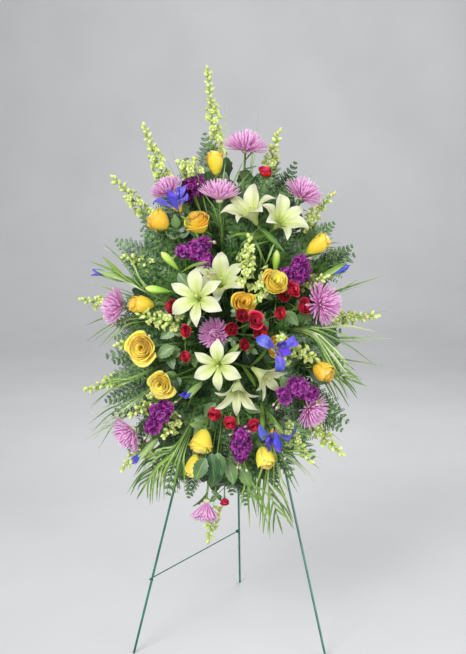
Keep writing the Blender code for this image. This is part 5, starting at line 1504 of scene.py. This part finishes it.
def filling_routes(count, draw, side, above, below, depth_share, tries=9, loose=0.03):
    """Lines from the foam's front to their tips, the clearest of a few tries each. The tips spread over an
    oval with half axes side, above and below, at a share of the dome's depth."""
    routes = []
    for k in range(count):
        share = math.sqrt((k + 0.5) / count)
        angle = k * GOLDEN_ANGLE
        best = None
        for _ in range(tries):
            right = side * share * math.cos(angle) + draw.uniform(-loose, loose)
            tall = above if math.sin(angle) > 0 else below
            up = tall * share * math.sin(angle) + draw.uniform(-loose, loose)
            route = line_from_foam(right, up, dome(right, up) * (depth_share + draw.uniform(-0.10, 0.10)))
            room = room_round(route[4:]) if tries > 1 else 0
            if best is None or room > best[0]:
                best = (room, route)
        routes.append(best[1])
    return routes


FILLING_FRONDS, FROND_LONGEST, FROND_SHARE = 68, 0.19, 0.62
draw = random.Random(900)
fern_piece("fern_filling", [
    (route, min(FROND_LONGEST, FROND_SHARE * np.linalg.norm(np.diff(route, axis=0), axis=1).sum()))
    for route in filling_routes(FILLING_FRONDS, draw, side=0.33, above=0.46, below=0.46, depth_share=0.80)],
    draw, pairs=10, leaflets=7)

# %% [markdown]
# A few more fronds are given one by one, where the spray's edge would be thin. They lie a little lower than
# most of the filling.

# %% Edge fronds
EDGE_FERNS = [  # tips right and up, and lengths, in centimetres
    (-30.0, 22.5, 16), (-28.0, 17.5, 14), (-31.5, -14.0, 15), (-32.0, -19.0, 15), (-25.5, -31.5, 13),
    (-10.0, -43.0, 12), (4.5, -44.5, 13), (1.0, -42.0, 12), (26.0, 27.0, 13), (-19.5, 38.5, 12),
    (28.5, -25.5, 14), (-30.0, 1.0, 14), (-29.5, -3.0, 13),
]
fern_piece("fern_edge", [
    (line_from_foam(right * CM, up * CM, dome(right * CM, up * CM) * 0.75), long * CM)
    for right, up, long in EDGE_FERNS], draw, pairs=11, leaflets=7)

# %% [markdown]
# ## Broad leaves
#
# Behind the ferns lies a layer of dark broad leaves, which is what keeps a spray from being seen through.
# Some grey-green ones stand out between the flowers. Both are the oval leaf on a thin stem that comes from
# the foam.

# %% Backing leaves
LEAF_STALK = 0.0012


def leaf_on_stem(route, length, face, draw, share):
    """An oval leaf at the end of its stem's line, which points away from the spray's middle and a little
    back."""
    way = np.append(unit(route[-1][:2]), -0.25)
    blade = oval_leaf(route[-1], way, face, length, draw, share, rows=9)
    return blade, tube(route, LEAF_STALK, 5, draw.random(), 0.3)


BACKING_LEAVES = 400
BROAD_LEAVES = [  # a leaf's foot right, up and ahead of 0.92 of the dome, its way, and its length, in cm
    (-5.0, -32.4, 4.2, -0.40, -0.92, 5.8), (-3.6, -31.4, 2.0, 0.1, -1.0, 6.2),
    (-12.6, -0.5, 0.0, -0.8, -0.6, 5.0), (-13.2, -5.5, 0.0, -0.9, -0.5, 5.2),
    (-11.5, 4.2, -1.0, -0.2, -1.0, 4.6), (14.0, 3.4, 0.0, 0.7, -0.7, 4.4),
    (-0.6, -4.6, 0.0, -0.5, -0.8, 4.2), (4.0, -19.5, 0.0, 0.9, -0.3, 4.4),
    (13.0, -12.5, -1.0, 0.6, -0.8, 4.4), (-3.0, -19.0, -1.0, -0.6, -0.8, 4.4),
    (-12.5, 13.0, -1.0, 0.5, -0.8, 4.4), (-2.2, -31.2, 2.0, 0.2, -1.0, 5.6),
    (0.5, -33.5, 0.0, 0.25, -1.0, 5.4), (-2.0, -34.5, 0.0, -0.3, -1.0, 5.4),
    (3.6, -35.0, -1.0, 0.4, -0.9, 5.0), (-10.5, -33.0, -2.0, -0.4, -0.9, 5.0),
]
draw = random.Random(950)
dark, bright, stalks = [], [], []
for route in filling_routes(BACKING_LEAVES, draw, side=0.225, above=0.370, below=0.365, depth_share=0.46,
                            tries=1, loose=0.012):
    tilt = np.array((draw.uniform(-0.5, 0.5), draw.uniform(-0.2, 0.6), 1.0))
    blade, stalk = leaf_on_stem(route, draw.uniform(0.050, 0.076), tilt, draw, 0.33)
    dark.append(blade)
    stalks.append(stalk)
for right, up, ahead, across, along, long in BROAD_LEAVES:
    right, up = right * CM, up * CM
    route = line_from_foam(right, up, dome(right, up) * 0.92 + ahead * CM, -0.06)
    tilt = np.array((draw.uniform(-0.4, 0.4), draw.uniform(-0.1, 0.5), 1.0))
    bright.append(oval_leaf(route[-1], (across, along, 0.1), tilt, long * CM, draw, share=0.31, rows=13))
    stalks.append(tube(route, LEAF_STALK, 5, draw.random(), 0.3))
make_piece("broad_leaves", [(DARK_LEAF, dark), (ROSE_LEAF, bright), (STEM_GREEN, stalks)])
print("broad leaves", len(dark) + len(bright), "triangles", made_triangles["broad_leaves"])

# %% [markdown]
# ## Palm fronds
#
# Long fronds with strap leaflets hang out at the foot and the right of the spray. The leaflets lie close
# along the rib, arch over and droop at their ends.

# %% Palm
def palm(route, length, draw, pairs=13, wide=0.0027):
    """Pairs of straps leave the rib, the lower ones longest; each rises a little and then droops."""
    total = along_route(route, [0])[4]
    blades = []
    for k in range(pairs):
        grown = k / pairs
        (point,), (run,), (side,), (face,), _ = along_route(route, [1 - length / total * (1 - grown)])
        for hand in (-1, 1):
            way = unit(run + hand * side * draw.uniform(0.25, 0.70))
            reach = min(length * (0.56 - 0.16 * grown), length * (1.15 - grown)) * draw.uniform(0.80, 1.08)
            line = curve([point, point + way * reach * 0.30 + face * 0.006, point + way * reach * 0.65,
                          point + way * reach * 0.95 - (0, reach * draw.uniform(0.12, 0.30), 0)
                          - face * 0.03 * draw.uniform(0.3, 1.4)], 10)
            halves = sine_halves(wide, 0.10, 0.985, 10, 0.8, 0.7)
            blades.append(strap(line, face, halves, 0.35, 0.0007, draw.random()))
    (point,), (run,), _, (face,), _ = along_route(route, [0.98])
    blades.append(strap(curve([point, point + run * 0.03, point + run * 0.055 - face * 0.01], 7), face,
                        sine_halves(wide, 0.15, 0.98, 7), 0.35, 0.0007, draw.random()))
    rib = tube(route, np.linspace(0.0017, 0.0009, len(route)), 6, draw.random(), 0.3)
    return blades, rib


PALM_SHARES = {-26: 0.84, 14: 0.88, 34: 0.88}  # how much of its CAD rib each frond keeps, by the tip's place
draw = random.Random(1000)
blades, ribs = [], []
for route, leaf in leaf_routes("palm_fronds", PALMS, PALM_LAYER, -RAIL_REACH, 0.0, 4):
    more, rib = palm(along_route(route, np.linspace(0, PALM_SHARES[leaf[0]], 17))[0], leaf[3] * CM, draw)
    blades += more
    ribs.append(rib)
make_piece("palm_fronds_long", [(PALM_GREEN, blades), (PALE_STEM, ribs)], ["palm_fronds"])
print("palm fronds", len(PALMS), "triangles", made_triangles["palm_fronds_long"])

# %% [markdown]
# Bunches of long narrow blades come out between the flowers, bend over and fan out. A bunch is written as
# the place where it bends and the list of its tips.

# %% Fans of blades
FANS = [  # where a bunch bends, right and up in cm, half a blade's width in mm, and the tips in cm
    ((18.5, 0.3), 2.2, [(31.8, -12.4), (31.6, -15.3), (30.8, -13.7), (28.4, -6.5), (27.9, -15), (29.5, -12.7),
                        (28.9, -15.6), (37, -9.4), (37.8, -0.7), (31.8, 12.1), (28.9, -4.6), (26.4, -10.5),
                        (33.5, -4.2), (25.5, -3.0), (30.2, -9.8), (30.0, -17.2), (27.5, -18.0)]),
    ((20.8, 19.4), 1.5, [(27.6, 18.8), (27.9, 21), (27.3, 19.8), (26.6, 17.3), (25.8, 22.6)]),
    ((11.4, -28.4), 2.3, [(9.1, -39.1), (11.4, -40.4), (9.7, -41.4), (13, -38.2), (17.7, -39.4),
                          (14.9, -44.3), (23, -35.1), (23.4, -32.5), (20.4, -30.4), (19.5, -36.5),
                          (6.8, -40.2)]),
    ((4.5, -35.9), 2.7, [(10.5, -49.8), (11, -48.5), (5.5, -50.3), (8.8, -46.6), (9.7, -45), (7.4, -47.2),
                         (3.2, -45.5), (12.5, -44.2)]),
    ((-11.0, -28.5), 2.7, [(-22.3, -37.2), (-21.7, -40.1), (-21.8, -41.4), (-20.4, -43.3), (-18.1, -42),
                           (-16.8, -40.1), (-13.9, -43.7), (-22.3, -35.2), (-10.6, -41.1), (-19.6, -38.6),
                           (-15.4, -42.2), (-20.9, -33.5)]),
    ((-22.5, -12.5), 1.8, [(-34.7, -17), (-35.3, -19.8), (-36.1, -20.9), (-33.5, -15.2)]),
    ((-23.0, -18.0), 1.8, [(-36.4, -24.8), (-35.8, -26.8), (-35.6, -29.2), (-34.2, -31.3)]),
    ((-22.5, 2.5), 1.9, [(-36.6, -3.6), (-35, -4.2), (-33.4, -5.5), (-37.6, 0.3), (-31.5, -5.0)]),
    ((-18.6, 7.0), 2.0, [(-32, 20.7), (-37.1, 17.2), (-36.1, 13.6), (-29, 21.4), (-27.5, 15.5)]),
    ((-3.0, 26.0), 1.9, [(-7.5, 34.0), (1.5, 36.0), (-1.5, 41.0), (5.0, 38.5), (3.4, 42.0)]),
    ((2.0, 17.0), 1.9, [(7.5, 24.0), (10.0, 21.0)]), ((8.8, 15.0), 2.4, [(11.8, 21.5), (5.0, 24.0)]),
]


def arching_blade(bend, half, tip, draw):
    """A curve from the foam, under the flowers to the bunch's bend and from there in a low arch to the tip.
    Each blade's own bend lies a sixth of the way to its tip. Below it the blade is rolled up, so narrow."""
    right, up = bend[0] * CM, bend[1] * CM
    foot = foot_in_foam(right, up, share=0.3, side=0.04, tall=0.09, depth=0.058)
    end = np.array((tip[0] * CM, tip[1] * CM, dome(tip[0] * CM, tip[1] * CM) - draw.uniform(0.0, 0.03)))
    over = np.array((right, up, dome(right, up) - 0.035)) + [draw.uniform(-0.007, 0.007) for _ in range(3)]
    over = over * 0.84 + end * 0.16
    under = np.array((0.62 * right, 0.62 * up, 0.48 * dome(0.62 * right, 0.62 * up)))
    reach = np.linalg.norm(end - over)
    middle = 0.50 * over + 0.50 * end + np.array((0, 0.055 * reach, 0.08 * reach))
    line = curve([foot, under, over, middle, end], 22)
    s = np.linspace(0, 1, len(line))
    shape = np.interp(s, (0, 0.42, 0.60, 0.80, 1), (0.3, 0.35, 1.0, 0.9, 0.08))
    halves = half / 1000 * draw.uniform(0.8, 1.2) * shape
    return strap(line, (0, 0.2, 1.0), halves, 0.40, 0.0007, draw.random())


PALE_TO = 2.5  # only blades with half a width under this, in millimetres, may be pale
draw = random.Random(1050)
dark, pale = [], []
for bend, half, tips in FANS:
    for k, tip in enumerate(tips):
        (pale if k % 3 == 2 and half < PALE_TO else dark).append(arching_blade(bend, half, tip, draw))
make_piece("blade_fans", [(PALM_GREEN, dark), (GRASS_GREEN, pale)])
print("blades in fans", len(dark) + len(pale), "triangles", made_triangles["blade_fans"])

# %% [markdown]
# ## Grass
#
# Thin blades of grass fan out all round. Each is a folded strap that tapers all the way to its tip, with
# two thinner ones that leave beside it.

# %% Grass
BLADE_HALF, THIN_HALF = 0.0032, 0.0021
draw = random.Random(1100)
blades = []
for route, leaf in leaf_routes("grass_blades", GRASSES, GRASS_LAYER, -RAIL_REACH, RAIL_REACH, 2):
    for k in range(3):
        shift = np.linspace(0, 1, len(route))[:, None] ** 1.5 * np.array(
            (draw.uniform(-0.02, 0.02), draw.uniform(-0.025, 0.025), draw.uniform(-0.012, 0.012))) * (k > 0)
        end = len(route) if k == 0 else len(route) - draw.randrange(1, 4)
        halves = (THIN_HALF if k else BLADE_HALF) * (1 - np.linspace(0, 1, end) ** 3)
        blades.append(strap((route + shift)[:end], (0, 0, 1.0), halves, 0.5, tone=draw.random()))
make_piece("grass_blades_fine", [(GRASS_GREEN, blades)], ["grass_blades"])
print("grass blades", len(blades), "worst misfit", max(leaf_misfits.values()), "mm")

# %% [markdown]
# ## Foam, cage and easel
#
# These keep their CAD shapes and get real finishes. Wet floral foam is dark green and full of tiny pores,
# whose shade is painted into the colour as darker spots. The cage is moulded plastic with a fine grain. The
# easel's wire is enamelled, glossy and slightly uneven, with the odd chip down to the grey steel.

# %% CAD finishes
def foam_finish():
    material, tree, shader = blank("wet_foam")
    place = add_node(tree, "TexCoord").outputs["Object"]
    pores_and_pore_shade = add_node(tree, "TexVoronoi", {"Vector": place, "Scale": 700.0}).outputs["Distance"]
    cloud = noise_in_place(tree, 45.0, 6.0)
    colour = ramp(tree, cloud, [(0.3, paint(18, 52, 30)), (0.7, paint(42, 88, 50))])
    # Painted shade: each pore is darkened in the colour, in place of the shade inside the hole.
    colour = mix(tree, spread(tree, pores_and_pore_shade, 0.0, 0.35, 0.5, 0.0), colour, paint(12, 34, 20))
    dress(tree, shader, colour, spread(tree, cloud, 0.3, 0.7, 0.95, 0.7), pores_and_pore_shade, 0.7, 0.0012)
    return material


def grained_finish(name, deep, bright, scale, rough, coat=0.0, chips=None):
    """A moulded or enamelled surface: a slow drift of colour, a fine grain, and chips where they are asked
    for."""
    material, tree, shader = blank(name)
    grain = noise_in_place(tree, scale, 4.0)
    colour = ramp(tree, noise_in_place(tree, 30.0, 5.0), [(0.3, deep), (0.7, bright)])
    if chips:
        colour = mix(tree, spread(tree, noise_in_place(tree, 150.0, 2.0), 0.70, 0.73), colour, chips)
    gloss = spread(tree, grain, 0.3, 0.7, rough - 0.08, rough + 0.12)
    dress(tree, shader, colour, gloss, grain, 0.25, 0.0004)
    shader.inputs["Coat Weight"].default_value = coat
    return material


ENAMEL = grained_finish("green_enamel", paint(8, 78, 70), paint(20, 116, 98), 400.0, 0.32, 0.5,
                        paint(110, 116, 112))
PLASTIC = grained_finish("cage_plastic", paint(14, 48, 26), paint(24, 70, 36), 900.0, 0.48)
FOAM = foam_finish()
for node, finish in [("foam_cage", PLASTIC), ("foam_back", FOAM), ("foam_front", FOAM)] + [
        (name, ENAMEL) for name in ("front_leg_left", "front_leg_right", "hinge_bar", "cross_bar", "rear_leg",
                                    "stay_rod")]:
    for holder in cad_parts[node].material_slots:
        holder.material = finish
print("CAD finishes given")

# %% [markdown]
# ## Sizes and the end
#
# The triangles that were added and the stems' largest misfits are printed.

# %% Finish
total = sum(made_triangles.values())
print("triangles added", total, "in", len(made_triangles), "pieces; largest",
      max(made_triangles.items(), key=lambda item: item[1]))
worst = sorted(((round(1000 * v, 2), k) for k, v in route_misfits.items()), reverse=True)
print("largest misfits", worst[:6])
